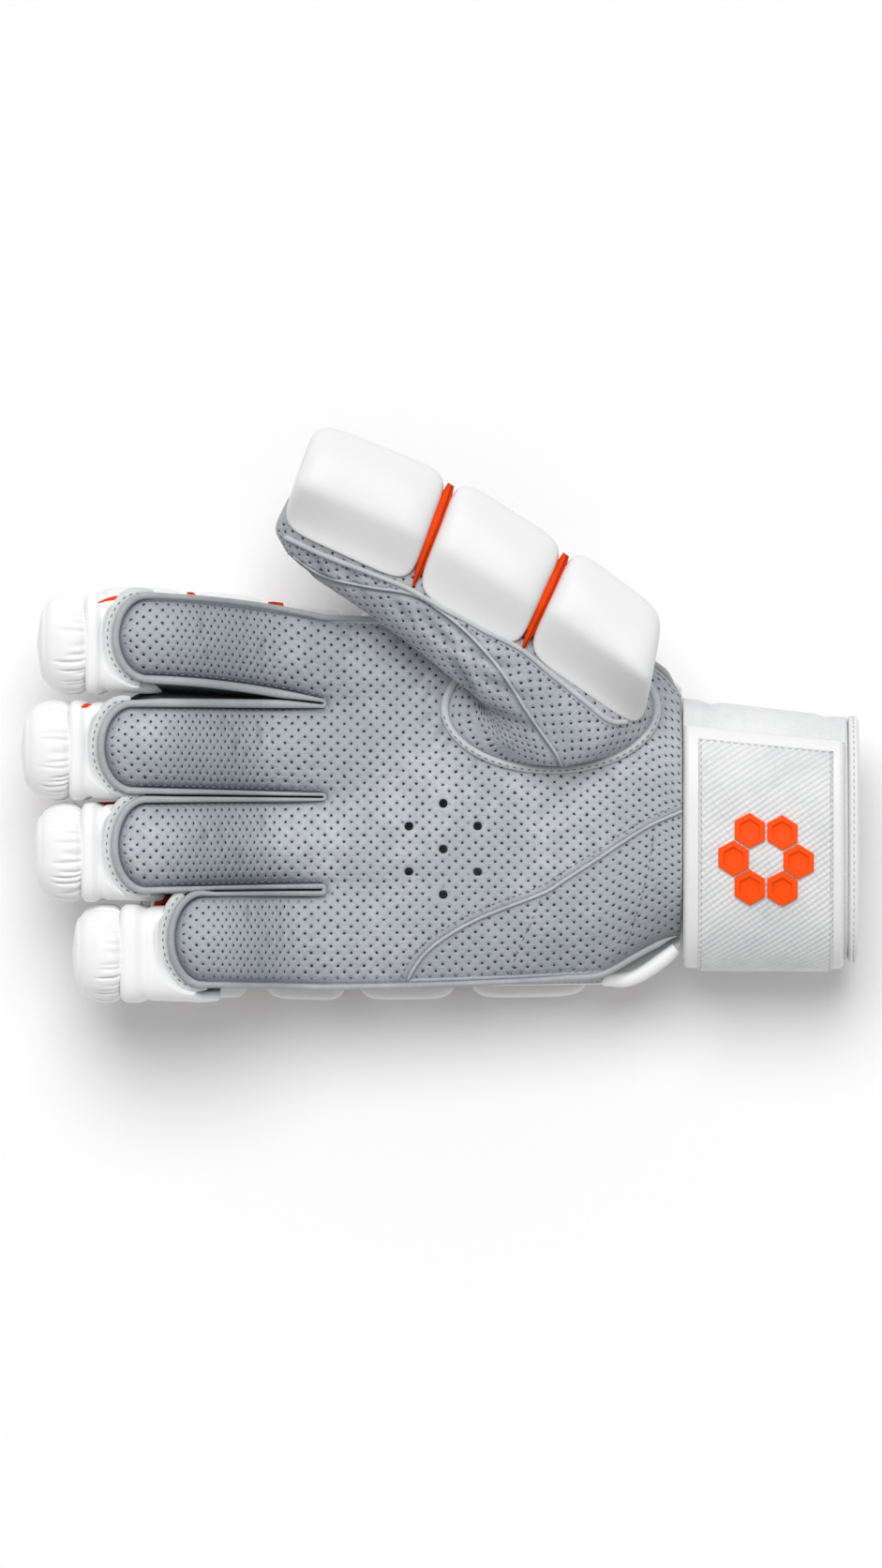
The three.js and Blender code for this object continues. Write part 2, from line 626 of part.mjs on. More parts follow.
// The coloured gusset of a lane: a strip under its blocks, folded down into each groove.
function gusset(lane) {
  const end = WRIST_GROOVE * FINGER_REACH;
  const flat = [reachOf(lane) + PAD_SPACING, reachOf(lane), end];
  const onPalm = stations(lane).filter((s) => s <= 0 && s > end);
  const fold = PAD_SPACING / 2 - GAP;
  const folds = [
    { at: lane.farGroove, deep: FINGER_PAD },
    { at: lane.nearGroove, deep: FINGER_PAD },
    { at: KNUCKLE_GROOVE, deep: FINGER_PAD },
    { at: HAND_GROOVE, deep: PAD },
  ].flatMap(({ at, deep }) => {
    const s = at * FINGER_REACH;
    return [
      { s: s + fold, deep: 0 },
      { s: s + fold / 2, deep: deep * FOLD_DEPTH },
      { s: s - fold / 2, deep: deep * FOLD_DEPTH },
      { s: s - fold, deep: 0 },
    ];
  });
  const marks = [...flat, ...onPalm].map((s) => ({ s, deep: 0 }));
  const rows = [...marks, ...folds].sort((a, b) => b.s - a.s);
  const level = (s, depth, ends) =>
    across.map((w) =>
      underBack(lane, s, clamp(w, -GUSSET_SHARE, GUSSET_SHARE), depth * (w * w < 1 ? 1 : ends)),
    );
  return sheet(
    rows.map(({ s, deep }) => level(s, GAP + GUSSET + deep, deep ? FOLD_ENDS : 1)),
    rows.map(({ s }) => level(s, GAP, 1)),
  );
}

for (const lane of lanes) {
  place(`${lane.name}_gusset`, gusset(lane), orangeColour);
  const blocks = [
    { name: "pad_1", from: lane.padEnd, to: lane.farGroove },
    { name: "pad_2", from: lane.farGroove, to: lane.nearGroove },
    { name: "pad_3", from: lane.nearGroove, to: KNUCKLE_GROOVE },
    { name: "knuckle_pad", from: KNUCKLE_GROOVE, to: HAND_GROOVE, onHand: true },
    { name: "hand_pad", from: HAND_GROOVE, to: WRIST_GROOVE, onHand: true },
  ];
  for (const { name, from, to, onHand } of blocks)
    place(`${lane.name}_${name}`, block(lane, from, to, onHand), whiteColour);
}

// Fingertip caps and the collars behind them.
const capEnd = (lane) => WEB_X - reachOf(lane) - lane.overhang * PALM_WIDTH;

function cap(lane) {
  const y = acrossWidth(lane.cap);
  const half = lane.capHalf * PALM_WIDTH;
  const rings = capRings.map(({ at, size, pleat }) =>
    turns(2 * PLEATS, 0.5).map((angle, k) => {
      const inward = k % 2 ? PLEAT_DEPTH * pleat : 0;
      return vec(
        capEnd(lane) + CAP_LENGTH * (1 - at),
        y + (half * size - inward) * squareCos(angle, 2.4),
        CAP_RISE + ((CAP_HEIGHT / 2) * size - inward) * squareSin(angle, 2.4),
      );
    }),
  );
  return loft(rings);
}

// The room that a fingertip takes up, with its clearance.
function tipRoom(lane) {
  const path = wallPath(lane).filter(({ top }) => top.x < WEB_X - reachOf(lane) / 2);
  const clearance = WALL_RIDGE + GAP;
  const ring = (part, dz) =>
    path.map((point, i) =>
      point[part].clone().addScaledVector(outwardOf(path, part, i), clearance).add(vec(0, 0, dz)),
    );
  const beyond = CAP_HEIGHT;
  return loft([ring("foot", -beyond), ring("foot", 0), ring("top", 0), ring("top", beyond)]);
}

function collar(lane) {
  const y = acrossWidth(lane.cap);
  const half = lane.capHalf * PALM_WIDTH;
  const from = WEB_X - reachOf(lane) + TIP_ROUND + COLLAR_WING;
  const to = capEnd(lane) + CAP_LENGTH + GAP;
  const low = BACK_OUTER + CURL;
  const high = PALM_BASE + FINGER_DEPTH + CURL + COLLAR_LIP;
  const rings = [
    { at: 0, size: 0.9 },
    { at: 0.3, size: 0.94 },
    { at: 0.8, size: 0.97 },
    { at: 1, size: 0.9 },
  ].map(({ at, size }) =>
    turns(16, 0.5).map((angle) =>
      vec(
        lerp(from, to, at),
        y + half * size * squareCos(angle, 4),
        (low + high) / 2 + ((high - low) / 2) * (size + 1 - 0.97) * squareSin(angle, 4),
      ),
    ),
  );
  return cut(loft(rings), tipRoom(lane));
}

for (const lane of lanes) {
  place(`${lane.name}_cap`, cap(lane), whiteColour);
  place(`${lane.name}_collar`, collar(lane), whiteColour);
}

// The thumb. A place is forward along it and outward from it, shares of THUMB_LENGTH.
const forwardWay = vec(Math.cos(radians(THUMB_TURN)), Math.sin(radians(THUMB_TURN)), 0);
const outwardWay = vec(forwardWay.y, -forwardWay.x, 0);
const onThumb = (forward, outward, z) =>
  vec(OPENING_X, OPENING_Y, z)
    .addScaledVector(forwardWay, forward * THUMB_LENGTH)
    .addScaledVector(outwardWay, outward * THUMB_LENGTH);

// The sleeve as a solid, drawn in by inset and let down into the opening by sink.
function sleeveSolid(inset, sink) {
  const sides = 20;
  const foot = (dz) =>
    turns(sides).map((angle) => {
      const way = outwardWay
        .clone()
        .multiplyScalar(Math.cos(angle))
        .addScaledVector(forwardWay, -Math.sin(angle));
      const reach = 1 / Math.hypot(way.x / (OPENING_LENGTH / 2), way.y / (OPENING_WIDTH / 2));
      const p = vec(OPENING_X, OPENING_Y, 0).addScaledVector(way, reach - GAP - inset);
      return p.setZ(palmHeight(p.x, p.y) + dz);
    });
  const tube = sleeveRings.map(({ forward, outward, lean, wide, high, rise }) => {
    const centre = onThumb(forward, outward, THUMB_RISE * rise);
    const up = vec(0, 0, Math.sin(radians(lean))).addScaledVector(
      forwardWay,
      -Math.cos(radians(lean)),
    );
    centre.addScaledVector(forwardWay, forward > 0.9 ? -inset : 0);
    return turns(sides).map((angle) =>
      centre
        .clone()
        .addScaledVector(outwardWay, (THUMB_RADIUS * wide - inset) * Math.cos(angle))
        .addScaledVector(up, (THUMB_RADIUS * high - inset) * Math.sin(angle)),
    );
  });
  return loft([foot(-LEATHER - sink), foot(LEATHER), ...tube]);
}

place("thumb_sleeve", cut(sleeveSolid(0, 0), sleeveSolid(LEATHER, THUMB_RADIUS)), palmColour);

const weltPath = turns(28).map((angle) => {
  const stand = WELT + GAP;
  const x = OPENING_X + (OPENING_LENGTH / 2 + stand) * Math.cos(angle);
  const y = OPENING_Y + (OPENING_WIDTH / 2 + stand) * Math.sin(angle);
  return vec(x, y, palmHeight(x, y) + stand * 1.2);
});
place("thumb_welt", bead(weltPath, WELT, 5, true), palmColour);

// A block of the thumb between two places along the line of its blocks, cut to sit on
// the sleeve. The lines of the blocks are counted from the fingertip.
function thumbSection(along, size, squareness) {
  const k = clamp(Math.floor(along), 0, thumbPadLine.length - 2);
  const [a, b] = [thumbPadLine[k], thumbPadLine[k + 1]];
  const t = along - k;
  const centre = onThumb(
    lerp(a.forward, b.forward, t),
    lerp(a.outward, b.outward, t),
    THUMB_PAD_RISE,
  );
  return turns(16, 0.5).map((angle) =>
    centre
      .clone()
      .addScaledVector(outwardWay, (THUMB_PAD_WIDTH / 2) * size * squareCos(angle, squareness))
      .add(vec(0, 0, (THUMB_PAD_HEIGHT / 2) * size * squareSin(angle, squareness))),
  );
}

const sleeveRoom = sleeveSolid(-GAP, 0);
const thumbStep = THUMB_LENGTH * 0.38; // about one block
const halfGroove = THUMB_SPACING / 2 / thumbStep;

for (const k of [0, 1, 2]) {
  const from = k + (k ? halfGroove : 0);
  const to = k + 1 - (k < 2 ? halfGroove : 0);
  const rings = [
    { at: 0, size: 0.88 },
    { at: 0.12, size: 1 },
    { at: 0.88, size: 1 },
    { at: 1, size: 0.88 },
  ].map(({ at, size }) => thumbSection(lerp(from, to, at), size, 3.2));
  place(`thumb_pad_${k + 1}`, cut(loft(rings), sleeveRoom), whiteColour);
}

for (const k of [1, 2]) {
  const rings = [-1, 0, 1].map((side) =>
    thumbSection(k + side * (halfGroove - GAP / thumbStep), 0.86 - 0.04 * Math.abs(side), 3),
  );
  place(`thumb_gusset_${k}`, cut(loft(rings), sleeveRoom), orangeColour);
}

// The cuff. A place on it is a distance from its seam and an angle round it, counted
// from the thumb's side over the palm, and an offset out of its surface.
const CUFF_X = WEB_X + PALM_LENGTH + GAP;
const CUFF_SIDES = 40;
const CUFF_POWER = 2.5;

function cuffPoint(along, angle, offset) {
  const at = along / CUFF_LENGTH;
  const size = lerp(1, CUFF_TAPER, at);
  return vec(
    CUFF_X + along,
    CUFF_Y +
      along * Math.tan(radians(CUFF_TURN)) +
      (CUFF_HALF_WIDTH * size + offset) * squareCos(angle, CUFF_POWER),
    CUFF_Z + (CUFF_HALF_DEPTH * size + offset) * squareSin(angle, CUFF_POWER),
  );
}

function band(from, to, inner, outer) {
  const ring = (along, offset) =>
    turns(CUFF_SIDES).map((angle) => cuffPoint(along, angle, offset));
  return loft([ring(from, outer), ring(to, outer), ring(to, inner), ring(from, inner)], true);
}

// A plate on the cuff between two angles.
function plate(from, to, firstAngle, lastAngle, inner, outer) {
  const step = 360 / CUFF_SIDES;
  const columns = Array.from(
    { length: Math.round((lastAngle - firstAngle) / step) + 1 },
    (_, i) => radians(firstAngle + i * step),
  );
  const face = (offset) =>
    [from, to].map((along) => columns.map((angle) => cuffPoint(along, angle, offset)));
  return sheet(face(outer), face(inner));
}

place("cuff", band(0, CUFF_LENGTH, -CUFF_WALL, 0), whiteColour);
place(
  "cuff_hem",
  band(CUFF_LENGTH + GAP, CUFF_LENGTH + GAP + HEM, -CUFF_WALL, HEM_STEP),
  whiteColour,
);

const strapFrom = GAP;
const strapTop = GAP + STRAP;
const patchTop = strapTop + GAP + PATCH;
const patchFrom = strapFrom + (STRAP_LENGTH - PATCH_LENGTH) * 0.55;
place("strap", plate(strapFrom, strapFrom + STRAP_LENGTH, 45, 207, GAP, strapTop), whiteColour);
place(
  "strap_patch",
  plate(patchFrom, patchFrom + PATCH_LENGTH, 54, 162, strapTop + GAP, patchTop),
  whiteColour,
);

// A badge of six cells on the patch.
const BADGE_ALONG = patchFrom + PATCH_LENGTH / 2;
const BADGE_ANGLE = 97; // degrees round the cuff
const badgeArc = (CUFF_HALF_WIDTH + patchTop) * 0.92; // the patch's own bend there

function badgeCell(ringAngle) {
  const spacing = BADGE_CELL * Math.sqrt(3) * 0.985;
  const x = spacing * Math.cos(ringAngle);
  const u = spacing * Math.sin(ringAngle);
  const ring = (offset) =>
    turns(6).map((angle) =>
      cuffPoint(
        BADGE_ALONG + x + BADGE_CELL * Math.cos(angle),
        radians(BADGE_ANGLE) + (u + BADGE_CELL * Math.sin(angle)) / badgeArc,
        offset,
      ),
    );
  return loft([ring(patchTop + GAP), ring(patchTop + GAP + BADGE)]);
}
place("strap_badge", join(...turns(6, 0.5).map(badgeCell)), orangeColour);

// The roll on the back leather's edge, beside the vent at the heel.
const rollSeat = LEATHER + GAP + ROLL;
const rollMarks = [0.8, 0.87, 0.94, 0.985]; // shares of PALM_LENGTH
const rollPath = rollMarks.map((at) =>
  backPoint(lanes[0], -at * PALM_LENGTH, -1).add(vec(0, ROLL / 2, rollSeat)),
);
place("vent_roll", bead(rollPath, ROLL, 8, false), whiteColour);

export default glove;
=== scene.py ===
"""The looks of a cricket batting glove, a right-hand glove that lies on its padded back.

Sizes are millimetres until a piece is made, and metres from then on. X runs from the fingertips to
the cuff, Y towards the thumb's side and Z up.
"""

import logging
import math
from collections.abc import Sequence
from dataclasses import dataclass, field
from enum import Enum

import bmesh
import bpy
import numpy as np
from mathutils.bvhtree import BVHTree
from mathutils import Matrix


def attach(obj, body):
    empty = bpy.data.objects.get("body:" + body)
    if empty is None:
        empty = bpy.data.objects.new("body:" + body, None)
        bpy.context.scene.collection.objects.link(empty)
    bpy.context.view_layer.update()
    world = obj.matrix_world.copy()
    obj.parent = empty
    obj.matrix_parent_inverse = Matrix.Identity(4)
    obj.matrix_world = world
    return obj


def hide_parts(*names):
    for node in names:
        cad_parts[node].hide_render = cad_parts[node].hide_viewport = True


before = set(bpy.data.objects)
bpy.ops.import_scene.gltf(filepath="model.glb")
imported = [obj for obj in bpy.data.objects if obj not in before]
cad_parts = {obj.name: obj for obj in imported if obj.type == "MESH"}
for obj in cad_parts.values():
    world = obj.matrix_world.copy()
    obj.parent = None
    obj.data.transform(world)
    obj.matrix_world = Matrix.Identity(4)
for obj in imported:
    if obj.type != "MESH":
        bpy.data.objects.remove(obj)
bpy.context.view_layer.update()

log = logging.getLogger("batting_glove")
Array = np.ndarray
Nodes = dict[str, bpy.types.Object]

WEB_X = -37.4
PALM_LENGTH = 114.9
PALM_WIDTH = 118.0
PALM_Y = -26.6
HAND_DEPTH = 29.0
FINGER_REACH = 69.8
FINGER_DEPTH = 19.6
TIP_ROUND = 9.0
CURL = 19.0
CROWN = 6.5
BACK_OUTER = 17.5
PALM_BASE = 21.1
FINGER_PAD = 13.0


def lerp(a: Array | float, b: Array | float, t: Array | float) -> Array | float:
    """The value a share t of the way from a to b."""
    return a + (b - a) * t


def smooth(low: float, high: float, x: Array | float) -> Array:
    """An eased step from 0 at low to 1 at high."""
    t = np.clip((np.asarray(x, float) - low) / (high - low), 0, 1)
    return t * t * (3 - 2 * t)


def eased(places: Sequence[float], values: Sequence[float], x: Array | float) -> Array:
    """A smooth curve through a table.

    Args:
        places: where the table has values, rising.
        values: the table's values, numbers or rows of numbers.
        x: the places that are asked for.

    Returns:
        The curve's values at x.
    """
    p = np.asarray(places, float)
    v = np.asarray(values, float)
    x = np.clip(np.asarray(x, float), p[0], p[-1])
    k = np.clip(np.searchsorted(p, x) - 1, 0, len(p) - 2)
    h = np.diff(p)
    wide = h.reshape((-1,) + (1,) * (v.ndim - 1))
    d = np.diff(v, axis=0) / wide
    inner = (d[:-1] * wide[1:] + d[1:] * wide[:-1]) / (wide[:-1] + wide[1:])
    m = np.concatenate([d[:1], inner, d[-1:]])
    t = (x - p[k]) / h[k]
    hk = h[k]
    t = t.reshape(t.shape + (1,) * (v.ndim - 1))
    hk = hk.reshape(t.shape)
    start = (1 + 2 * t) * (1 - t) ** 2 * v[k] + t * (1 - t) ** 2 * hk * m[k]
    return start + t * t * (3 - 2 * t) * v[k + 1] + t * t * (t - 1) * hk * m[k + 1]


def on_photo(*pixels: tuple[float, float]) -> Array:
    """Places in the glove's plane, in millimetres, for places of the picture that it is built from."""
    p = np.array(pixels, float)
    return np.stack([(p[:, 0] - 469.5) * 0.3, (763 - p[:, 1]) * 0.3], -1)


def resample(path: Array, step: float, closed: bool = False) -> Array:
    """A path's points at even steps.

    Args:
        path: the path's points, one to a row.
        step: about how far apart the new points are.
        closed: whether the path's end joins its start.

    Returns:
        The new points, the first not repeated at the end of a closed path.
    """
    if closed:
        path = np.vstack([path, path[:1]])
    ahead = np.linalg.norm(np.diff(path, axis=0), axis=1)
    along = np.concatenate([[0], np.cumsum(ahead)])
    count = max(2, int(round(along[-1] / step)) + 1)
    at = np.linspace(0, along[-1], count)
    made = np.stack([np.interp(at, along, path[:, i]) for i in range(path.shape[1])], -1)
    return made[:-1] if closed else made


def curve_through(points: Array, step: float) -> Array:
    """A smooth path through a few points, in even steps."""
    return resample(eased(range(len(points)), points, np.linspace(0, len(points) - 1, 12 * len(points))), step)


def distance_to(path: Array, places: Array) -> Array:
    """How far each place in the plane is from a path's points."""
    parts = np.array_split(places, max(1, len(places) // 1500))
    return np.concatenate([np.min(np.linalg.norm(q[:, None] - path[None], axis=2), axis=1) for q in parts])


def side_of(path: Array, places: Array) -> Array:
    """Signed distance of places from an open path in the plane, positive on the path's left."""
    best = np.full(len(places), 1e9)
    signed = np.zeros(len(places))
    for a, b in zip(path[:-1], path[1:]):
        ab = b - a
        t = np.clip(((places - a) @ ab) / (ab @ ab), 0, 1)
        away = places - (a + t[:, None] * ab)
        far = np.linalg.norm(away, axis=1)
        cross = ab[0] * (places[:, 1] - a[1]) - ab[1] * (places[:, 0] - a[0])
        near = far < best
        best = np.where(near, far, best)
        signed = np.where(near, np.sign(cross) * far, signed)
    return signed


@dataclass(frozen=True)
class Crease:
    """A soft wrinkle in leather, a groove between two places of the plane."""

    start: tuple[float, float]
    end: tuple[float, float]
    width: float = 1.4
    depth: float = 0.5

    def sink(self, places: Array) -> Array:
        """How far the leather sinks at each place."""
        a = np.array(self.start)
        ab = np.array(self.end) - a
        t = ((places - a) @ ab) / (ab @ ab)
        off = np.linalg.norm(places - (a + np.clip(t, 0, 1)[:, None] * ab), axis=1)
        groove = np.exp(-((off / self.width) ** 2)) - 0.45 * np.exp(-(((off - 2 * self.width) / self.width) ** 2))
        return self.depth * groove * smooth(-0.2, 0.25, t) * smooth(1.2, 0.75, t)


@dataclass(frozen=True)
class Lane:
    """One finger's lane over the glove: shares of the palm's width, and of the longest finger."""

    name: str
    root: float
    tip: float
    bow: float
    root_half: float
    tip_half: float
    pad_out: float
    cap: float
    cap_half: float
    overhang: float
    reach_share: float
    bend_from: float
    bend_to: float
    pad_end: float
    far_groove: float
    near_groove: float

    @property
    def reach(self) -> float:
        """Length of the finger's leather past the web."""
        return self.reach_share * FINGER_REACH

    def middle(self, s: Array) -> Array:
        """The finger's middle line at a distance past the web."""
        t = s / self.reach
        return PALM_Y + PALM_WIDTH * (lerp(self.root, self.tip, t) + self.bow * 4 * t * (1 - t))

    def half(self, s: Array) -> Array:
        """Half the finger's width at a distance past the web."""
        return PALM_WIDTH * lerp(self.root_half, self.tip_half, np.clip(s / self.reach, 0, 1))

    def tip_share(self, s: Array) -> Array:
        """How much of the width the round fingertip leaves."""
        return np.sqrt(np.clip(1 - np.clip((s - self.reach + TIP_ROUND) / TIP_ROUND, 0, 1) ** 2, 0, 1))

    def share(self, w: Array) -> Array:
        """Where a point of the lane lies across the palm, from 0 to 1."""
        return (self.root + w * self.root_half + 0.504) / 0.989

    def grown(self, s: Array) -> Array:
        """How much the finger has grown out of the palm."""
        return np.clip(s / (self.near_groove * FINGER_REACH), 0, 1)

    def palm(self, s: Array, w: Array) -> Array:
        """Places of the palm leather's outer face.

        Args:
            s: distances from the web towards the fingertip, negative on the palm.
            w: places across the lane, from -1 to 1.

        Returns:
            The places, with one more axis than s and w.
        """
        s, w = np.broadcast_arrays(np.asarray(s, float), np.asarray(w, float))
        share = self.share(w)
        hand = HAND.palm(s, share, 1 - w * w)
        fall = np.abs(2 * share - 1) ** 4
        grown = self.grown(s)
        curl = CURL * smooth(self.bend_from, self.bend_to, s / self.reach)
        edge = lerp((0.86 - 0.14 * fall) * HAND_DEPTH, FINGER_DEPTH, grown)
        crown = lerp(0.1 * HAND_DEPTH, CROWN, grown) * self.tip_share(s)
        y = self.middle(s) + w * self.half(s) * self.tip_share(s)
        z = PALM_BASE + edge + crown * (1 - w * w) + curl
        return np.where((s < 0)[..., None], hand, np.stack([WEB_X - s, y, z], -1))

    def back_curl(self, s: Array) -> Array:
        """How far the finger's back is lifted."""
        places = [0, self.near_groove * FINGER_REACH, self.far_groove * FINGER_REACH, self.reach]
        return CURL * np.interp(np.clip(s, 0, self.reach), places, [0, 0.07, 0.52, 1])

    def back(self, s: Array, w: Array) -> Array:
        """Places of the back leather's outer face, which looks down. See palm for the sizes."""
        s, w = np.broadcast_arrays(np.asarray(s, float), np.asarray(w, float))
        share = self.share(w)
        hand = HAND.back(s, share)
        fall = np.abs(2 * share - 1) ** 4
        grown = self.grown(s)
        y = self.middle(s) + w * (self.half(s) * self.tip_share(s) + 1.1)
        z = BACK_OUTER + 0.87 * (1 - grown) * fall - 1.5 * grown * (1 - w * w) + self.back_curl(s)
        x = WEB_X - s - 4.5 * np.clip(s, 0, None) / self.reach
        return np.where((s < 0)[..., None], hand, np.stack([x, y, z], -1))

    def under(self, s: Array, w: Array, depth: Array) -> Array:
        """Places below the back leather, at right angles to its slope.

        Args:
            s: distances from the web towards the fingertip.
            w: places across the lane, which may be past 1.
            depth: how far below the back leather.

        Returns:
            The places.
        """
        s, w, depth = np.broadcast_arrays(np.asarray(s, float), np.asarray(w, float), np.asarray(depth, float))
        p = self.back(s, np.clip(w, -1, 1))
        middle = self.back(s, np.zeros_like(s))[..., 1]
        palm_half = self.back(s, np.ones_like(s))[..., 1] - middle
        half = np.where(s > 0, self.half(s) + 1.1, palm_half)
        slope = self.back_curl(s + 0.5) - self.back_curl(s - 0.5)
        long = np.sqrt(1 + slope * slope)
        x = p[..., 0] - slope / long * depth
        return np.stack([x, middle + w * half, p[..., 2] - depth / long], -1)

    def outside(self, places: Array) -> Array:
        """How far places in the plane are outside the finger's palm leather, negative inside."""
        s = WEB_X - places[..., 0]
        half = self.half(s)
        across = np.abs(places[..., 1] - self.middle(s))
        past = np.clip((s - self.reach + TIP_ROUND) / TIP_ROUND, 0, None)
        far = np.hypot(past, across / half)
        return (far - 1) * lerp(half, TIP_ROUND, np.clip(past / (far + 1e-6), 0, 1))

    def tip_rows(self, start: float, step: float) -> Array:
        """Distances from start to the fingertip, close together where it is round."""
        straight = np.arange(start, self.reach - TIP_ROUND, step)
        turn = np.radians(np.linspace(0, 90, 17))
        return np.concatenate([straight, self.reach - TIP_ROUND + TIP_ROUND * np.sin(turn)])


@dataclass(frozen=True)
class HandShape:
    """The palm and the back of the hand, tables along the palm of shares of its sizes."""

    at: tuple[float, ...] = (0, 0.14, 0.42, 0.67, 0.78, 0.87, 0.94, 1)
    upper: tuple[float, ...] = (0.485, 0.48, 0.463, 0.435, 0.412, 0.382, 0.345, 0.28)
    lower: tuple[float, ...] = (-0.504, -0.502, -0.494, -0.48, -0.468, -0.42, -0.385, -0.368)
    back_upper: tuple[float, ...] = (0.5, 0.496, 0.481, 0.452, 0.428, 0.398, 0.36, 0.3)
    back_lower: tuple[float, ...] = (-0.516, -0.515, -0.511, -0.507, -0.505, -0.495, -0.452, -0.405)
    level: tuple[float, ...] = (0.86, 0.93, 1, 1.06, 1.09, 1.12, 1.14, 1.15)
    drop: tuple[float, ...] = (0.14, 0.24, 0.36, 0.45, 0.51, 0.59, 0.65, 0.69)
    sink: tuple[float, ...] = (0, 0, 0, 0, 0.04, 0.12, 0.2, 0.29)
    rise: tuple[float, ...] = (0.03, 0.05, 0.12, 0.25, 0.33, 0.47, 0.58, 0.68)
    ridges: tuple[float, ...] = (0.1, 0.05, 0, 0, 0, 0, 0, 0)

    def value(self, row: tuple[float, ...], s: Array) -> Array:
        """A table's value at a distance from the web, negative on the palm."""
        return eased(self.at, row, np.clip(-s / PALM_LENGTH, 0, 1))

    def palm(self, s: Array, share: Array, ridge: Array) -> Array:
        """Places of the palm leather: share runs across it, and ridge is 1 on a finger's middle line."""
        s, share, ridge = np.broadcast_arrays(s, share, ridge)
        fall = np.abs(2 * share - 1) ** 4
        y = lerp(self.value(self.lower, s), self.value(self.upper, s), share)
        z = self.value(self.level, s) - self.value(self.drop, s) * fall + self.value(self.ridges, s) * ridge
        return np.stack([WEB_X - s, PALM_Y + PALM_WIDTH * y, PALM_BASE + HAND_DEPTH * z], -1)

    def back(self, s: Array, share: Array) -> Array:
        """Places of the back leather."""
        s, share = np.broadcast_arrays(s, share)
        fall = np.abs(2 * share - 1) ** 4
        y = lerp(self.value(self.back_lower, s), self.value(self.back_upper, s), share)
        z = self.value(self.rise, s) * fall - self.value(self.sink, s)
        return np.stack([WEB_X - s, PALM_Y + PALM_WIDTH * y, BACK_OUTER + HAND_DEPTH * z], -1)

    def palm_height(self, x: Array, y: Array) -> Array:
        """The palm leather's height over a place of the palm."""
        s = WEB_X - np.asarray(x, float)
        low = PALM_Y + PALM_WIDTH * self.value(self.lower, s)
        high = PALM_Y + PALM_WIDTH * self.value(self.upper, s)
        share = np.clip((y - low) / (high - low), 0, 1)
        z = self.value(self.level, s) - self.value(self.drop, s) * np.abs(2 * share - 1) ** 4
        return PALM_BASE + HAND_DEPTH * z


HAND = HandShape()
LITTLE = Lane("little", -0.384, -0.378, 0, 0.12, 0.115, -0.037, -0.419, 0.134, 0.28, 0.679, 0.1, 0.7, 0.75, 0.5, 0.27)
RING = Lane("ring", -0.1186, -0.126, 0, 0.112, 0.115, 0, -0.145, 0.135, 0.233, 0.937, 0.15, 0.75, 0.965, 0.585, 0.2)
MIDDLE = Lane("middle", 0.1305, 0.1415, 0, 0.115, 0.1085, 0, 0.131, 0.136, 0.229, 1, 0.2, 0.75, 1.02, 0.6, 0.2)
INDEX = Lane(
    "index", 0.378, 0.438, 0.0165, 0.107, 0.1035, 0.027, 0.421, 0.138, 0.2245, 0.933, 0.15, 0.75, 0.96, 0.545, 0.195
)
LANES = (LITTLE, RING, MIDDLE, INDEX)


class Slot(Enum):
    """The record's material slots."""

    PALM = "palm_leather"
    WHITE = "white_leather"
    PAD = "pad_leather"
    GUSSET = "gusset_cloth"
    CUFF = "cuff_elastic"
    STRAP = "strap_leather"
    PATCH = "strap_patch"
    BADGE = "badge_rubber"


class Board:
    """A node tree that nodes are put on by name, each linked to what it takes."""

    def __init__(self, tree: bpy.types.NodeTree) -> None:
        """Starts on an empty tree."""
        self.tree = tree
        self.tree.nodes.clear()

    def node(self, kind: str, inputs: dict, **settings: object) -> bpy.types.Node:
        """Adds a node.

        Args:
            kind: the node's type.
            inputs: a value or an output socket for each input, by name or number.
            settings: the node's own settings.

        Returns:
            The new node.
        """
        made = self.tree.nodes.new(kind)
        for key, value in settings.items():
            setattr(made, key, value)
        for key, value in inputs.items():
            if isinstance(value, bpy.types.NodeSocket):
                self.tree.links.new(value, made.inputs[key])
            else:
                made.inputs[key].default_value = value
        return made

    def math(self, operation: str, a: object, b: object = 0.0, c: object = 0.0) -> bpy.types.NodeSocket:
        """A Math node's value."""
        return self.node("ShaderNodeMath", {0: a, 1: b, 2: c}, operation=operation).outputs[0]

    def vector(self, operation: str, a: object, b: object = (0, 0, 0)) -> bpy.types.Node:
        """A Vector Math node."""
        return self.node("ShaderNodeVectorMath", {0: a, 1: b}, operation=operation)

    def step(self, value: object, low: float, high: float, to_low: float = 0.0, to_high: float = 1.0) -> bpy.types.NodeSocket:
        """A smooth step of a value between two limits."""
        inputs = {"Value": value, "From Min": low, "From Max": high, "To Min": to_low, "To Max": to_high}
        return self.node("ShaderNodeMapRange", inputs, interpolation_type="SMOOTHSTEP").outputs[0]

    def noise(self, vector: object, scale: float, detail: float = 3.0, rough: float = 0.5) -> bpy.types.NodeSocket:
        """A noise value over a vector."""
        inputs = {"Vector": vector, "Scale": scale, "Detail": detail, "Roughness": rough}
        return self.node("ShaderNodeTexNoise", inputs).outputs[0]

    def blend(self, share: object, a: object, b: object, way: str = "MIX") -> bpy.types.NodeSocket:
        """A mix of two colours."""
        made = self.node("ShaderNodeMix", {}, data_type="RGBA", blend_type=way)
        for socket, value in zip((made.inputs[0], made.inputs[6], made.inputs[7]), (share, a, b)):
            if isinstance(value, bpy.types.NodeSocket):
                self.tree.links.new(value, socket)
            else:
                socket.default_value = value
        return made.outputs[2]


class Effect(Enum):
    """Surface effects that several finishes share, each one node group."""

    PERFORATION = "Perforation"
    GRAIN = "Leather grain"
    WEAR = "Wear and soil"
    WEAVE = "Ribbed weave"


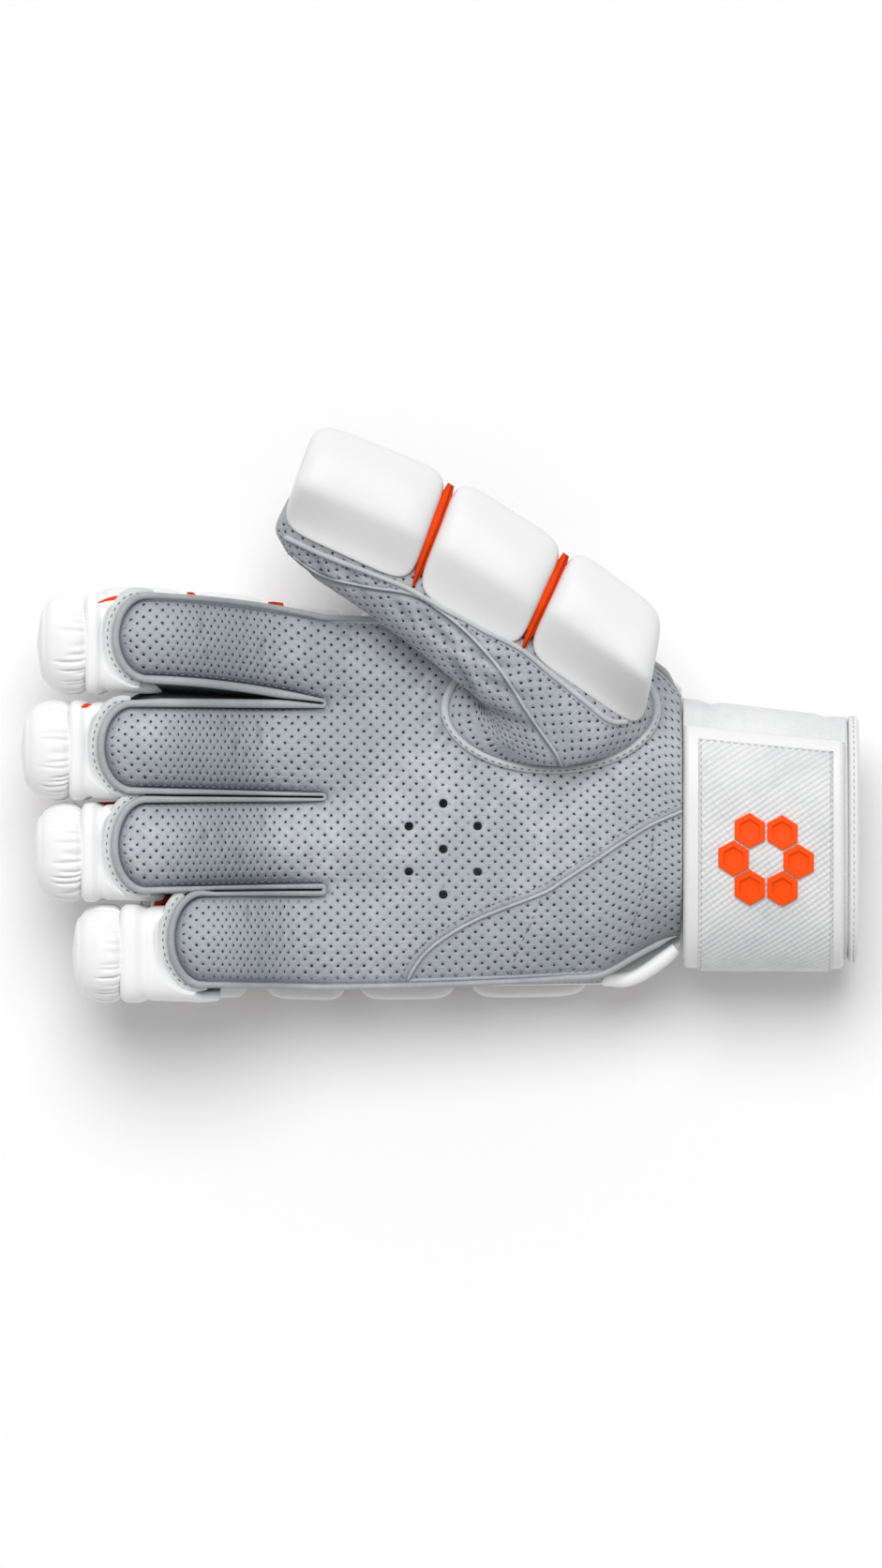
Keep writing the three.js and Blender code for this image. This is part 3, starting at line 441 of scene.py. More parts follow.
class EffectLibrary:
    """Builds each shared node group once."""

    def __init__(self) -> None:
        """Starts with no groups."""
        self.groups: dict[Effect, bpy.types.NodeTree] = {}

    def get(self, effect: Effect) -> bpy.types.NodeTree:
        """A shared group, built at its first use."""
        if effect not in self.groups:
            makers = {
                Effect.PERFORATION: self.perforation,
                Effect.GRAIN: self.grain,
                Effect.WEAR: self.wear,
                Effect.WEAVE: self.weave,
            }
            self.groups[effect] = makers[effect]()
        return self.groups[effect]

    @staticmethod
    def start(
        name: str, inputs: Sequence[tuple[str, str, float | None]], outputs: Sequence[tuple[str, str]]
    ) -> tuple[bpy.types.NodeTree, Board, bpy.types.Node, bpy.types.Node]:
        """Makes an empty group with its sockets.

        Args:
            name: the group's name.
            inputs: name, socket type and first value of each input.
            outputs: name and socket type of each output.

        Returns:
            The tree, its board, and its input and output nodes.
        """
        tree = bpy.data.node_groups.new(name, "ShaderNodeTree")
        for label, kind, value in inputs:
            socket = tree.interface.new_socket(label, in_out="INPUT", socket_type=kind)
            if value is not None:
                socket.default_value = value
        for label, kind in outputs:
            tree.interface.new_socket(label, in_out="OUTPUT", socket_type=kind)
        board = Board(tree)
        return tree, board, tree.nodes.new("NodeGroupInput"), tree.nodes.new("NodeGroupOutput")

    def perforation(self) -> bpy.types.NodeTree:
        """Small punched holes in staggered rows, by a map in millimetres."""
        tree, b, given, out = self.start(
            "Perforation",
            [
                ("Map", "NodeSocketVector", None),
                ("Pitch", "NodeSocketFloat", 4.3),
                ("Radius", "NodeSocketFloat", 0.45),
                ("Keep", "NodeSocketFloat", 1.0),
            ],
            [("Hole", "NodeSocketFloat"), ("Height", "NodeSocketFloat")],
        )
        drift = b.node("ShaderNodeTexNoise", {"Vector": given.outputs["Map"], "Scale": 0.31, "Detail": 2.0}).outputs[1]
        moved = b.vector("MULTIPLY_ADD", drift, (0.9, 0.9, 0.0))
        tree.links.new(given.outputs["Map"], moved.inputs[2])
        far = []
        for shift in (0.0, 0.5):
            scaled = b.node("ShaderNodeVectorMath", {0: moved.outputs[0]}, operation="SCALE")
            tree.links.new(b.math("DIVIDE", 1.0, given.outputs["Pitch"]), scaled.inputs["Scale"])
            cell = b.vector("FRACTION", b.vector("ADD", scaled.outputs[0], (shift, shift, 0.0)).outputs[0])
            centred = b.vector("SUBTRACT", cell.outputs[0], (0.5, 0.5, 0.0))
            flat = b.vector("MULTIPLY", centred.outputs[0], (1.0, 1.0, 0.0))
            far.append(b.math("MULTIPLY", b.vector("LENGTH", flat.outputs[0]).outputs[1], given.outputs["Pitch"]))
        near = b.math("MINIMUM", far[0], far[1])
        size = b.math("MULTIPLY", b.noise(given.outputs["Map"], 0.17, 1.0), 0.5)
        radius = b.math("MULTIPLY", given.outputs["Radius"], b.math("ADD", size, 0.75))
        over = b.math("SUBTRACT", near, radius)
        hole = b.math("MULTIPLY", b.step(over, 0.1, -0.1), given.outputs["Keep"])
        rim = b.math("MULTIPLY", b.step(over, 0.75, 0.1), given.outputs["Keep"])
        tree.links.new(hole, out.inputs["Hole"])
        height = b.math("SUBTRACT", 1.0, b.math("MULTIPLY", rim, 0.4))
        tree.links.new(b.math("SUBTRACT", height, b.math("MULTIPLY", hole, 0.6)), out.inputs["Height"])
        return tree

    def grain(self) -> bpy.types.NodeTree:
        """Fine leather pebble with small folds."""
        tree, b, given, out = self.start(
            "Leather grain",
            [("Vector", "NodeSocketVector", None), ("Scale", "NodeSocketFloat", 1.0)],
            [("Height", "NodeSocketFloat"), ("Tone", "NodeSocketFloat")],
        )
        scaled = b.node("ShaderNodeVectorMath", {0: given.outputs["Vector"]}, operation="SCALE")
        tree.links.new(given.outputs["Scale"], scaled.inputs["Scale"])
        cells = b.node("ShaderNodeTexVoronoi", {"Vector": scaled.outputs[0], "Scale": 1300.0}).outputs[0]
        fine = b.noise(scaled.outputs[0], 900.0, 5.0, 0.6)
        folds = b.noise(scaled.outputs[0], 240.0, 4.0, 0.6)
        both = b.math("ADD", b.math("MULTIPLY", fine, 0.5), b.math("MULTIPLY", cells, 0.3))
        tree.links.new(b.math("ADD", both, b.math("MULTIPLY", folds, 0.5)), out.inputs["Height"])
        tree.links.new(b.math("ADD", b.math("MULTIPLY", fine, 0.5), b.math("MULTIPLY", folds, 0.5)), out.inputs["Tone"])
        return tree

    def wear(self) -> bpy.types.NodeTree:
        """Broad uneven tone with a few soiled patches."""
        tree, b, given, out = self.start(
            "Wear and soil",
            [("Vector", "NodeSocketVector", None), ("Amount", "NodeSocketFloat", 1.0)],
            [("Tone", "NodeSocketFloat"), ("Soil", "NodeSocketFloat")],
        )
        broad = b.noise(given.outputs["Vector"], 26.0, 3.0, 0.55)
        spots = b.noise(given.outputs["Vector"], 130.0, 4.0, 0.65)
        tone = b.math("ADD", b.math("MULTIPLY", broad, 0.65), b.math("MULTIPLY", spots, 0.35))
        tree.links.new(b.math("MULTIPLY", tone, given.outputs["Amount"]), out.inputs["Tone"])
        soil_and_shade = b.math("MULTIPLY", b.step(spots, 0.55, 0.75), b.step(broad, 0.45, 0.7))
        tree.links.new(b.math("MULTIPLY", soil_and_shade, given.outputs["Amount"]), out.inputs["Soil"])
        return tree

    def weave(self) -> bpy.types.NodeTree:
        """Slanting ribs with finer cross lines, and where the gaps between the ribs take painted shade, by a map in
        millimetres.
        """
        tree, b, given, out = self.start(
            "Ribbed weave",
            [("Map", "NodeSocketVector", None), ("Pitch", "NodeSocketFloat", 2.0), ("Slant", "NodeSocketFloat", 0.8)],
            [("Height", "NodeSocketFloat"), ("Gap", "NodeSocketFloat")],
        )
        parts = b.node("ShaderNodeSeparateXYZ", {0: given.outputs["Map"]})
        leaned = b.math("SUBTRACT", parts.outputs[1], b.math("MULTIPLY", parts.outputs[0], given.outputs["Slant"]))
        crossed = b.math("ADD", parts.outputs[0], b.math("MULTIPLY", parts.outputs[1], given.outputs["Slant"]))
        turn = b.math("DIVIDE", 2 * math.pi, given.outputs["Pitch"])
        rib = b.math("SINE", b.math("MULTIPLY", leaned, turn))
        line = b.math("SINE", b.math("MULTIPLY", crossed, turn))
        rib01 = b.math("MULTIPLY_ADD", rib, 0.5, 0.5)
        line01 = b.math("MULTIPLY_ADD", line, 0.5, 0.5)
        tree.links.new(b.math("ADD", b.math("POWER", rib01, 0.6), b.math("MULTIPLY", line01, 0.35)), out.inputs["Height"])
        tree.links.new(b.step(rib01, 0.25, 0.0), out.inputs["Gap"])
        return tree


EFFECTS = EffectLibrary()


@dataclass(frozen=True)
class Finish:
    """One material: its colours, its gloss, and which shared effects it uses.

    The map is in millimetres. One point attribute holds painted shade, which darkens folds, creases, seams, gaps and
    sides turned from the light, and past 1 paints near-black shade; the attribute called holes says where the leather
    is punched.
    """

    name: str
    colour: tuple[float, float, float]
    deep: tuple[float, float, float]
    roughness: float = 0.5
    rough_spread: float = 0.1
    grain: float = 0.1
    grain_scale: float = 1.0
    coat: float = 0.0
    punched: bool = False
    ribs: float = 0.0
    rib_pitch: float = 2.0
    rib_slant: float = 0.8
    sheen: float = 0.0
    wear: float = 1.0
    specular: float = 0.4

    def material(self) -> bpy.types.Material:
        """The material, built at its first use.

        Returns:
            The material of this name.
        """
        found = bpy.data.materials.get(self.name)
        if found:
            return found
        made = bpy.data.materials.new(self.name)
        made.use_nodes = True
        b = Board(made.node_tree)
        place = b.node("ShaderNodeTexCoord", {}).outputs["Object"]
        flat = b.node("ShaderNodeUVMap", {}, uv_map="map").outputs[0]
        soil_and_shade = b.node("ShaderNodeAttribute", {}, attribute_name="soil_and_shade").outputs["Fac"]
        wear = b.node("ShaderNodeGroup", {}, node_tree=EFFECTS.get(Effect.WEAR))
        grain = b.node("ShaderNodeGroup", {}, node_tree=EFFECTS.get(Effect.GRAIN))
        for group in (wear, grain):
            made.node_tree.links.new(place, group.inputs["Vector"])
        wear.inputs["Amount"].default_value = self.wear
        grain.inputs["Scale"].default_value = self.grain_scale
        light = (*self.colour, 1.0)
        dark = (*self.deep, 1.0)
        tone = b.math("ADD", b.math("MULTIPLY", wear.outputs["Tone"], 0.9), b.math("MULTIPLY", grain.outputs["Tone"], 0.35))
        colour = b.blend(b.step(tone, 0.42, 0.82, 0.0, 0.55), light, dark)
        colour = b.blend(b.math("MULTIPLY", wear.outputs["Soil"], 0.35), colour, dark)
        # Painted shade: the point attribute darkens folds, creases, seams, gaps and sides turned from the light towards
        # the deep colour.
        colour = b.blend(b.step(soil_and_shade, 0.0, 1.0), colour, dark)
        # Painted shade: past 1 the same attribute paints near-black shade in the deep gaps between the fingers.
        colour = b.blend(b.step(soil_and_shade, 1.0, 1.8, 0.0, 0.96), colour, (0.01, 0.01, 0.012, 1.0))
        height = b.math("MULTIPLY", grain.outputs["Height"], self.grain)
        if self.ribs:
            weave = b.node("ShaderNodeGroup", {"Pitch": self.rib_pitch, "Slant": self.rib_slant}, node_tree=EFFECTS.get(Effect.WEAVE))
            made.node_tree.links.new(flat, weave.inputs["Map"])
            height = b.math("ADD", height, b.math("MULTIPLY", weave.outputs["Height"], self.ribs))
            # Painted shade in the gaps between the ribs.
            colour = b.blend(b.math("MULTIPLY", weave.outputs["Gap"], 0.16), colour, dark)
        if self.punched:
            keep = b.node("ShaderNodeAttribute", {}, attribute_name="holes").outputs["Fac"]
            holes = b.node("ShaderNodeGroup", {"Pitch": 4.2, "Radius": 0.43}, node_tree=EFFECTS.get(Effect.PERFORATION))
            made.node_tree.links.new(flat, holes.inputs["Map"])
            made.node_tree.links.new(keep, holes.inputs["Keep"])
            height = b.math("ADD", height, holes.outputs["Height"])
            # Painted shade: the holes are not cut, so their dark inside is painted near-black.
            colour = b.blend(b.math("MULTIPLY", holes.outputs["Hole"], 0.97), colour, (0.008, 0.009, 0.011, 1.0))
        rough = b.math("MULTIPLY_ADD", grain.outputs["Tone"], self.rough_spread, self.roughness - self.rough_spread / 2)
        bump = b.node("ShaderNodeBump", {"Height": height, "Strength": 1.0, "Distance": 0.0005}).outputs[0]
        shader = b.node("ShaderNodeBsdfPrincipled", {"Base Color": colour, "Roughness": rough, "Normal": bump})
        shader.inputs["Coat Weight"].default_value = self.coat
        shader.inputs["Coat Roughness"].default_value = 0.25
        shader.inputs["Sheen Weight"].default_value = self.sheen
        shader.inputs["Specular IOR Level"].default_value = self.specular
        b.node("ShaderNodeOutputMaterial", {"Surface": shader.outputs[0]})
        return made


PALM_FINISH = Finish(
    "grey_palm_leather", (0.63, 0.655, 0.675), (0.23, 0.255, 0.285), 0.6, 0.2, 0.8, punched=True, wear=1.3
)
BORDER_FINISH = Finish("grey_border_leather", (0.44, 0.46, 0.475), (0.22, 0.24, 0.26), 0.5, 0.2, 0.4)
TRIM_FINISH = Finish("grey_trim_leather", (0.6, 0.617, 0.63), (0.3, 0.32, 0.34), 0.55, 0.2, 0.35)
BAND_FINISH = Finish("pale_band_leather", (0.74, 0.75, 0.755), (0.4, 0.41, 0.42), 0.5, 0.15, 0.3)
WHITE_FINISH = Finish("white_leather", (0.79, 0.79, 0.79), (0.55, 0.56, 0.57), 0.38, 0.12, 0.1, coat=0.12, wear=0.6)
PAD_FINISH = Finish("white_pad_leather", (0.81, 0.81, 0.815), (0.64, 0.65, 0.66), 0.46, 0.1, 0.06, coat=0.06, wear=0.5)
GUSSET_FINISH = Finish(
    "orange_gusset_cloth", (1.0, 0.085, 0.006), (0.45, 0.025, 0.002), 0.65, 0.1, 0.2, ribs=0.25, rib_pitch=0.9,
    specular=0.12,
)  # fmt: skip
CUFF_FINISH = Finish(
    "white_elastic", (0.8, 0.8, 0.8), (0.52, 0.53, 0.55), 0.7, 0.1, 0.15, ribs=0.12, rib_pitch=0.9, rib_slant=0.0, sheen=0.1
)
STRAP_FINISH = Finish("white_strap_leather", (0.8, 0.8, 0.8), (0.58, 0.59, 0.6), 0.4, 0.12, 0.15, coat=0.08, wear=0.6)
PATCH_FINISH = Finish(
    "white_ribbed_patch", (0.8, 0.8, 0.805), (0.5, 0.51, 0.52), 0.42, 0.12, 0.2, ribs=0.42, rib_pitch=2.1, rib_slant=-0.75
)
BADGE_FINISH = Finish("orange_rubber", (0.98, 0.085, 0.003), (0.7, 0.04, 0.002), 0.5, 0.08, 0.06, wear=0.4, specular=0.14)
THREAD_FINISH = Finish("grey_thread", (0.3, 0.32, 0.34), (0.12, 0.13, 0.14), 0.8, 0.1, 0.2, ribs=0.3, rib_pitch=0.4)
EDGE_THREAD_FINISH = Finish("edge_thread", (0.44, 0.46, 0.48), (0.25, 0.26, 0.28), 0.8, 0.1, 0.2, ribs=0.3, rib_pitch=0.4)
PALE_THREAD_FINISH = Finish("pale_thread", (0.74, 0.745, 0.75), (0.5, 0.51, 0.52), 0.75, 0.1, 0.2, ribs=0.3, rib_pitch=0.4)


class Draft:
    """The points and faces of one piece while it is drawn, in millimetres."""

    def __init__(self) -> None:
        """Starts empty."""
        self.points: list[Array] = []
        self.maps: list[Array] = []
        self.marks: list[Array] = []
        self.faces: list[Array] = []
        self.map_faces: list[Array] = []
        self.count = 0
        self.map_count = 0

    def lattice(
        self,
        points: Array,
        maps: Array | None = None,
        keep: Array | None = None,
        wrap: bool = False,
        soil_and_shade: Array | float = 0.0,
        holes: Array | float = 0.0,
    ) -> None:
        """Adds a lattice of points with a face in each cell.

        Args:
            points: rows by columns by 3.
            maps: the map's places, rows by columns by 2, with one more column where it wraps.
            keep: which cells have a face.
            wrap: whether the last column joins the first.
            soil_and_shade: how much painted shade each point has, 0 to 1, and near-black shade past 1.
            holes: where the leather is punched, 0 to 1.
        """
        rows, columns = points.shape[:2]
        extra = 1 if wrap else 0
        if maps is None:
            maps = lattice_map(points, wrap)
        index = self.count + np.arange(rows * columns).reshape(rows, columns)
        if wrap:
            index = np.concatenate([index, index[:, :1]], 1)
        spot = self.map_count + np.arange(rows * (columns + extra)).reshape(rows, columns + extra)
        chosen = np.ones((rows - 1, columns - 1 + extra), bool) if keep is None else keep
        for source, target in ((index, self.faces), (spot, self.map_faces)):
            quads = np.stack([source[:-1, :-1], source[:-1, 1:], source[1:, 1:], source[1:, :-1]], -1)
            target.append(quads[chosen])
        self.points.append(points.reshape(-1, 3))
        self.maps.append(maps.reshape(-1, 2))
        marks = [np.broadcast_to(np.asarray(value, float), (rows, columns)).reshape(-1) for value in (soil_and_shade, holes)]
        self.marks.append(np.stack(marks, -1))
        self.count += rows * columns
        self.map_count += rows * (columns + extra)

    def tube(self, path: Array, radius: float | Array, sides: int = 8, closed: bool = False, flat: float = 1.0) -> None:
        """Adds a round bead along a path.

        Args:
            path: the middle line.
            radius: the bead's radius, one number or one for each point.
            sides: how many sides it has.
            closed: whether its ends join.
            flat: its height, a share of its width.
        """
        before = np.roll(path, 1, 0) if closed else np.vstack([path[:1], path[:-1]])
        after = np.roll(path, -1, 0) if closed else np.vstack([path[1:], path[-1:]])
        ahead = after - before
        ahead /= np.linalg.norm(ahead, axis=1)[:, None] + 1e-9
        side = np.cross(ahead, (0, 0, 1.0))
        side /= np.linalg.norm(side, axis=1)[:, None] + 1e-9
        up = np.cross(side, ahead)
        turn = 2 * np.pi * np.arange(sides) / sides
        size = np.broadcast_to(np.asarray(radius, float), (len(path),))[:, None, None]
        ring = path[:, None] + size * (
            side[:, None] * np.cos(turn)[None, :, None] + flat * up[:, None] * np.sin(turn)[None, :, None]
        )
        if closed:
            ring = np.concatenate([ring, ring[:1]])
        else:
            ends = [np.broadcast_to(path[k], (1, sides, 3)) for k in (0, -1)]
            ring = np.concatenate([ends[0], ring, ends[1]])
        self.lattice(ring, wrap=True)

    def copies(self, pattern: "Pattern", places: Array, ahead: Array, up: Array) -> None:
        """Adds copies of a small form.

        Args:
            pattern: the form.
            places: where each copy is.
            ahead: the way in which each copy's length runs.
            up: the way in which each copy's top looks.
        """
        ahead = ahead / (np.linalg.norm(ahead, axis=1)[:, None] + 1e-9)
        side = np.cross(up, ahead)
        side /= np.linalg.norm(side, axis=1)[:, None] + 1e-9
        top = np.cross(ahead, side)
        basis = np.stack([ahead, side, top], 1)
        made = places[:, None] + np.einsum("vi,nij->nvj", pattern.points, basis)
        size = len(pattern.points)
        shift = size * np.arange(len(places))
        for face in pattern.faces:
            rows = (np.array(face)[None] + shift[:, None] + self.count).astype(int)
            self.faces.append(rows)
            self.map_faces.append(rows - self.count + self.map_count)
        flat = np.tile(pattern.points[:, :2], (len(places), 1))
        self.points.append(made.reshape(-1, 3))
        self.maps.append(flat)
        self.marks.append(np.zeros((size * len(places), 2)))
        self.count += size * len(places)
        self.map_count += size * len(places)

    def arrays(self) -> tuple[Array, Array, Array]:
        """All points, map places and marks."""
        return np.concatenate(self.points), np.concatenate(self.maps), np.concatenate(self.marks)

    def make(self, name: str, finish: Finish, closed: bool = False, upward: bool = False, wall: float = 0.0) -> bpy.types.Object:
        """Makes the piece.

        Args:
            name: the piece's name.
            finish: its material.
            closed: whether it is a closed form, whose faces are turned outwards.
            upward: whether it is a sheet whose face looks up.
            wall: the thickness that a sheet gets, inwards.

        Returns:
            The new object, at the origin.
        """
        points, maps, marks = self.arrays()
        faces = [tuple(face) for part in self.faces for face in part.tolist()]
        mesh = bpy.data.meshes.new(name)
        mesh.from_pydata((points * 0.001).tolist(), [], faces)
        layer = mesh.uv_layers.new(name="map")
        spots = np.concatenate([part.reshape(-1) for part in self.map_faces])
        layer.data.foreach_set("uv", maps[spots].reshape(-1).astype(np.float32))
        for label, column in (("soil_and_shade", 0), ("holes", 1)):
            attribute = mesh.attributes.new(label, "FLOAT", "POINT")
            attribute.data.foreach_set("value", marks[:, column].astype(np.float32))
        self.tidy(mesh, closed, upward)
        made = bpy.data.objects.new(name, mesh)
        bpy.context.scene.collection.objects.link(made)
        mesh.materials.append(finish.material())
        mesh.shade_smooth()
        if wall:
            thicken(made, wall)
        return made

    @staticmethod
    def tidy(mesh: bpy.types.Mesh, closed: bool, upward: bool) -> None:
        """Merges doubles, drops loose points and turns the faces the right way."""
        work = bmesh.new()
        work.from_mesh(mesh)
        bmesh.ops.remove_doubles(work, verts=work.verts, dist=2e-6)
        bmesh.ops.delete(work, geom=[v for v in work.verts if not v.link_faces], context="VERTS")
        if closed or upward:
            bmesh.ops.recalc_face_normals(work, faces=work.faces)
        if upward and sum(f.normal.z * f.calc_area() for f in work.faces) < 0:
            bmesh.ops.reverse_faces(work, faces=work.faces)
        work.to_mesh(mesh)
        work.free()
        mesh.update()


def lattice_map(points: Array, wrap: bool) -> Array:
    """Map places in millimetres for a lattice, from the lengths of its rows and columns."""
    if wrap:
        points = np.concatenate([points, points[:, :1]], 1)
    down = np.linalg.norm(np.diff(points, axis=0), axis=2).mean(1)
    across = np.linalg.norm(np.diff(points, axis=1), axis=2).mean(0)
    u = np.concatenate([[0], np.cumsum(down)])
    v = np.concatenate([[0], np.cumsum(across)])
    return np.stack(np.broadcast_arrays(u[:, None], v[None]), -1)


def select_only(piece: bpy.types.Object) -> None:
    """Makes one object the only selected one, and active."""
    bpy.ops.object.select_all(action="DESELECT")
    piece.select_set(True)
    bpy.context.view_layer.objects.active = piece


def thicken(piece: bpy.types.Object, wall: float) -> None:
    """Gives a sheet its wall, inwards, in millimetres."""
    select_only(piece)
    solid = piece.modifiers.new("wall", "SOLIDIFY")
    solid.thickness = wall * 0.001
    solid.offset = -1
    bpy.ops.object.modifier_apply(modifier=solid.name)


def settle(piece: bpy.types.Object, nodes: Sequence[str]) -> bpy.types.Object:
    """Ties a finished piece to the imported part.

    Args:
        piece: the piece.
        nodes: the CAD nodes that it stands for.

    Returns:
        The piece.
    """
    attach(piece, "root")
    if nodes:
        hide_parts(*nodes)
    log.info("%s: %d faces", piece.name, len(piece.data.polygons))
    return piece


class Pattern:
    """A small form that is modelled once and copied."""

    def __init__(self, points: Array, faces: list[tuple[int, ...]]) -> None:
        """Keeps the form's points in millimetres and its faces."""
        self.points = points
        self.faces = faces

    @classmethod
    def stitch(cls, length: float, width: float, height: float) -> "Pattern":
        """One stitch of thread: a small ball drawn out long.

        Args:
            length: the stitch's length.
            width: its width.
            height: its height.

        Returns:
            The form.
        """
        bpy.ops.object.select_all(action="DESELECT")
        bpy.ops.mesh.primitive_uv_sphere_add(segments=6, ring_count=4, radius=0.5, rotation=(0, math.pi / 2, 0))
        ball = bpy.context.object
        bpy.ops.object.transform_apply(rotation=True)
        bpy.ops.object.mode_set(mode="EDIT")
        bpy.ops.mesh.select_all(action="SELECT")
        bpy.ops.transform.resize(value=(length, width, height))
        bpy.ops.object.mode_set(mode="OBJECT")
        points = np.array([v.co[:] for v in ball.data.vertices])
        faces = [tuple(p.vertices) for p in ball.data.polygons]
        bpy.data.objects.remove(ball)
        return cls(points, faces)


class Drape:
    """Lays lines from above on pieces that are made."""

    def __init__(self, *pieces: bpy.types.Object) -> None:
        """Reads the pieces' faces."""
        points: list[Array] = []
        faces: list[list[int]] = []
        count = 0
        for piece in pieces:
            co = np.zeros(len(piece.data.vertices) * 3, np.float32)
            piece.data.vertices.foreach_get("co", co)
            points.append(co.reshape(-1, 3) * 1000)
            faces.extend([[i + count for i in p.vertices] for p in piece.data.polygons])
            count += len(piece.data.vertices)
        self.tree = BVHTree.FromPolygons(np.concatenate(points).tolist(), faces)

    def lay(self, places: Array, lift: float = 0.0, ceiling: float = 300.0) -> tuple[Array, Array]:
        """Drops places onto the pieces.

        Args:
            places: places in the plane.
            lift: how far above the surface they end.
            ceiling: the height that they drop from.

        Returns:
            The places that landed, and the surface's normals there.
        """
        landed = []
        normals = []
        for x, y in places:
            hit, normal, _, _ = self.tree.ray_cast((float(x), float(y), ceiling), (0, 0, -1))
            if hit is not None:
                if normal.z < 0:
                    normal = -normal
                landed.append(np.array(hit) + lift * np.array(normal))
                normals.append(np.array(normal))
        return np.array(landed).reshape(-1, 3), np.array(normals).reshape(-1, 3)


def smoothed(path: Array, rounds: int = 2) -> Array:
    """A path with its small jumps averaged out, its ends kept."""
    for _ in range(rounds):
        path = np.vstack([path[:1], (path[:-2] + 2 * path[1:-1] + path[2:]) / 4, path[-1:]])
    return path


def stitch_line(draft: Draft, pattern: Pattern, path: Array, normals: Array, pitch: float) -> None:
    """Adds a row of stitches along a path.

    Args:
        draft: what they are added to.
        pattern: one stitch.
        path: the path's points.
        normals: the surface's normals at them.
        pitch: from one stitch to the next.
    """
    if len(path) < 3:
        return
    both = resample(np.hstack([path, normals]), pitch)
    ahead = np.gradient(both[:, :3], axis=0)
    draft.copies(pattern, both[:, :3], ahead, both[:, 3:])


def offset_path(path: Array, away: float) -> Array:
    """A path in the plane moved to its left."""
    ahead = np.gradient(path, axis=0)
    ahead /= np.linalg.norm(ahead, axis=1)[:, None] + 1e-9
    return path + away * np.stack([-ahead[:, 1], ahead[:, 0]], -1)


@dataclass
class Palm:
    """The grey palm leather with its four finger fronts, the heel piece and their seams."""

    leather: float = 1.5
    step: float = 1.0
    vent: tuple[float, float] = (1.0, -42.7)
    vent_spacing: float = 14.6
    vent_radius: float = 1.45
    opening: tuple[float, float, float, float] = (35.5, 2.1, 32.9, 18.4)
    valley: float = 1.1
    lap: float = 1.3
    pieces: Nodes = field(default_factory=dict)

    def border(self) -> tuple[Array, Array]:
        """The middle line of the raised border outside the leather's edge, and its half width."""
        edge = self.outline()
        s = WEB_X - edge[:, 0]
        size = np.full(len(edge), 0.9)
        for lane in LANES:
            near = lane.outside(edge)
            size = np.where((s > lane.reach * 0.8) & (np.abs(near) < 2.5), 1.05, size)
        for low, high in zip(LANES[:-1], LANES[1:]):
            top = low.middle(s) + low.half(s)
            foot = high.middle(s) - high.half(s)
            inside = (edge[:, 1] > top - 1) & (edge[:, 1] < foot + 1) & (s > -4) & (s < low.reach * 0.8)
            size = np.where(inside, np.clip((foot - top - 0.7) / 4, 0.45, 1.3), size)
        kernel = np.ones(15) / 15
        size = np.convolve(np.pad(size, 7, mode="edge"), kernel, mode="valid")
        ends = np.minimum(np.arange(len(size)), np.arange(len(size))[::-1])
        size *= lerp(0.25, 1.0, smooth(0, 14, ends))
        return offset_path(edge, 0.0) + (offset_path(edge, 1.0) - edge) * size[:, None], size

    def heel_line(self) -> Array:
        """The heel's seam in the plane, from the cuff to the palm's lower edge."""
        marks = on_photo(
            (748, 853), (726, 864), (687, 882), (630, 919), (600, 938), (579, 951), (515, 976), (476, 997),
            (453, 1015), (439, 1034), (431, 1051), (427, 1064),
        )  # fmt: skip
        return curve_through(marks, 1.0)

    def vents(self) -> Array:
        """Middles of the seven vent holes."""
        turn = np.radians(30 + 60 * np.arange(6))
        ring = self.vent_spacing * np.stack([0.87 * np.cos(turn), np.sin(turn)], -1)
        return np.vstack([np.zeros((1, 2)), ring]) + np.array(self.vent)

    def outline(self) -> Array:
        """The leather's edge in the plane, round all four fingers, from the heel to the thumb's side."""
        parts = []
        start = np.arange(-PALM_LENGTH * 0.985, 0, 1.0)
        parts.append(LITTLE.palm(start, np.full(len(start), -1.0)))
        for k, lane in enumerate(LANES):
            rows = lane.tip_rows(0.0, 1.0)
            parts.append(lane.palm(rows, np.full(len(rows), -1.0)))
            back = rows[::-1][1:]
            parts.append(lane.palm(back, np.full(len(back), 1.0)))
            if k < 3:
                a = parts[-1][-1]
                b = LANES[k + 1].palm(0.0, -1.0)
                turn = np.radians(np.linspace(0, 180, 9))[1:-1]
                middle = (a + b) / 2
                radius = (b[1] - a[1]) / 2
                arc = middle + np.stack([1.2 * np.sin(turn), -radius * np.cos(turn), 0 * turn], -1)
                parts.append(arc)
        parts.append(INDEX.palm(start[::-1], np.full(len(start), 1.0)))
        return resample(np.concatenate(parts)[:, :2], 0.5)

    @staticmethod
    def creases() -> list[Crease]:
        """Wrinkles at the finger roots, across the bent fingers and beside the thumb."""
        rng = np.random.default_rng(7)
        made = []
        for lane in LANES:
            for _ in range(7):
                s = lane.reach * rng.uniform(0.28, 0.62)
                y = lane.middle(s) + lane.half(s) * rng.uniform(-0.75, 0.5)
                long = rng.uniform(3, 8)
                lean = rng.uniform(-1.5, 1.5)
                x = WEB_X - s
                made.append(Crease((x, y), (x + lean, y + long), rng.uniform(0.7, 1.2), rng.uniform(0.18, 0.4)))
            for _ in range(3):
                y = lane.middle(0.0) + lane.half(0.0) * rng.uniform(-0.9, 0.9)
                x = WEB_X - rng.uniform(-6, 8)
                made.append(Crease((x, y), (x + rng.uniform(2, 7), y + rng.uniform(-2.5, 2.5)), 0.9, 0.28))
        spots = [(440, 735), (452, 752), (446, 772), (462, 790), (430, 712), (470, 806), (420, 690), (500, 826)]
        for x, y in spots:
            a = on_photo((x, y))[0]
            made.append(Crease((a[0], a[1]), (a[0] + rng.uniform(2, 5), a[1] + rng.uniform(3, 7)), 0.9, 0.4))
        for _ in range(14):
            x = rng.uniform(0, 70)
            y = rng.uniform(-75, -35)
            made.append(Crease((x, y), (x + rng.uniform(-4, 4), y + rng.uniform(-5, 5)), 1.0, 0.16))
        return made

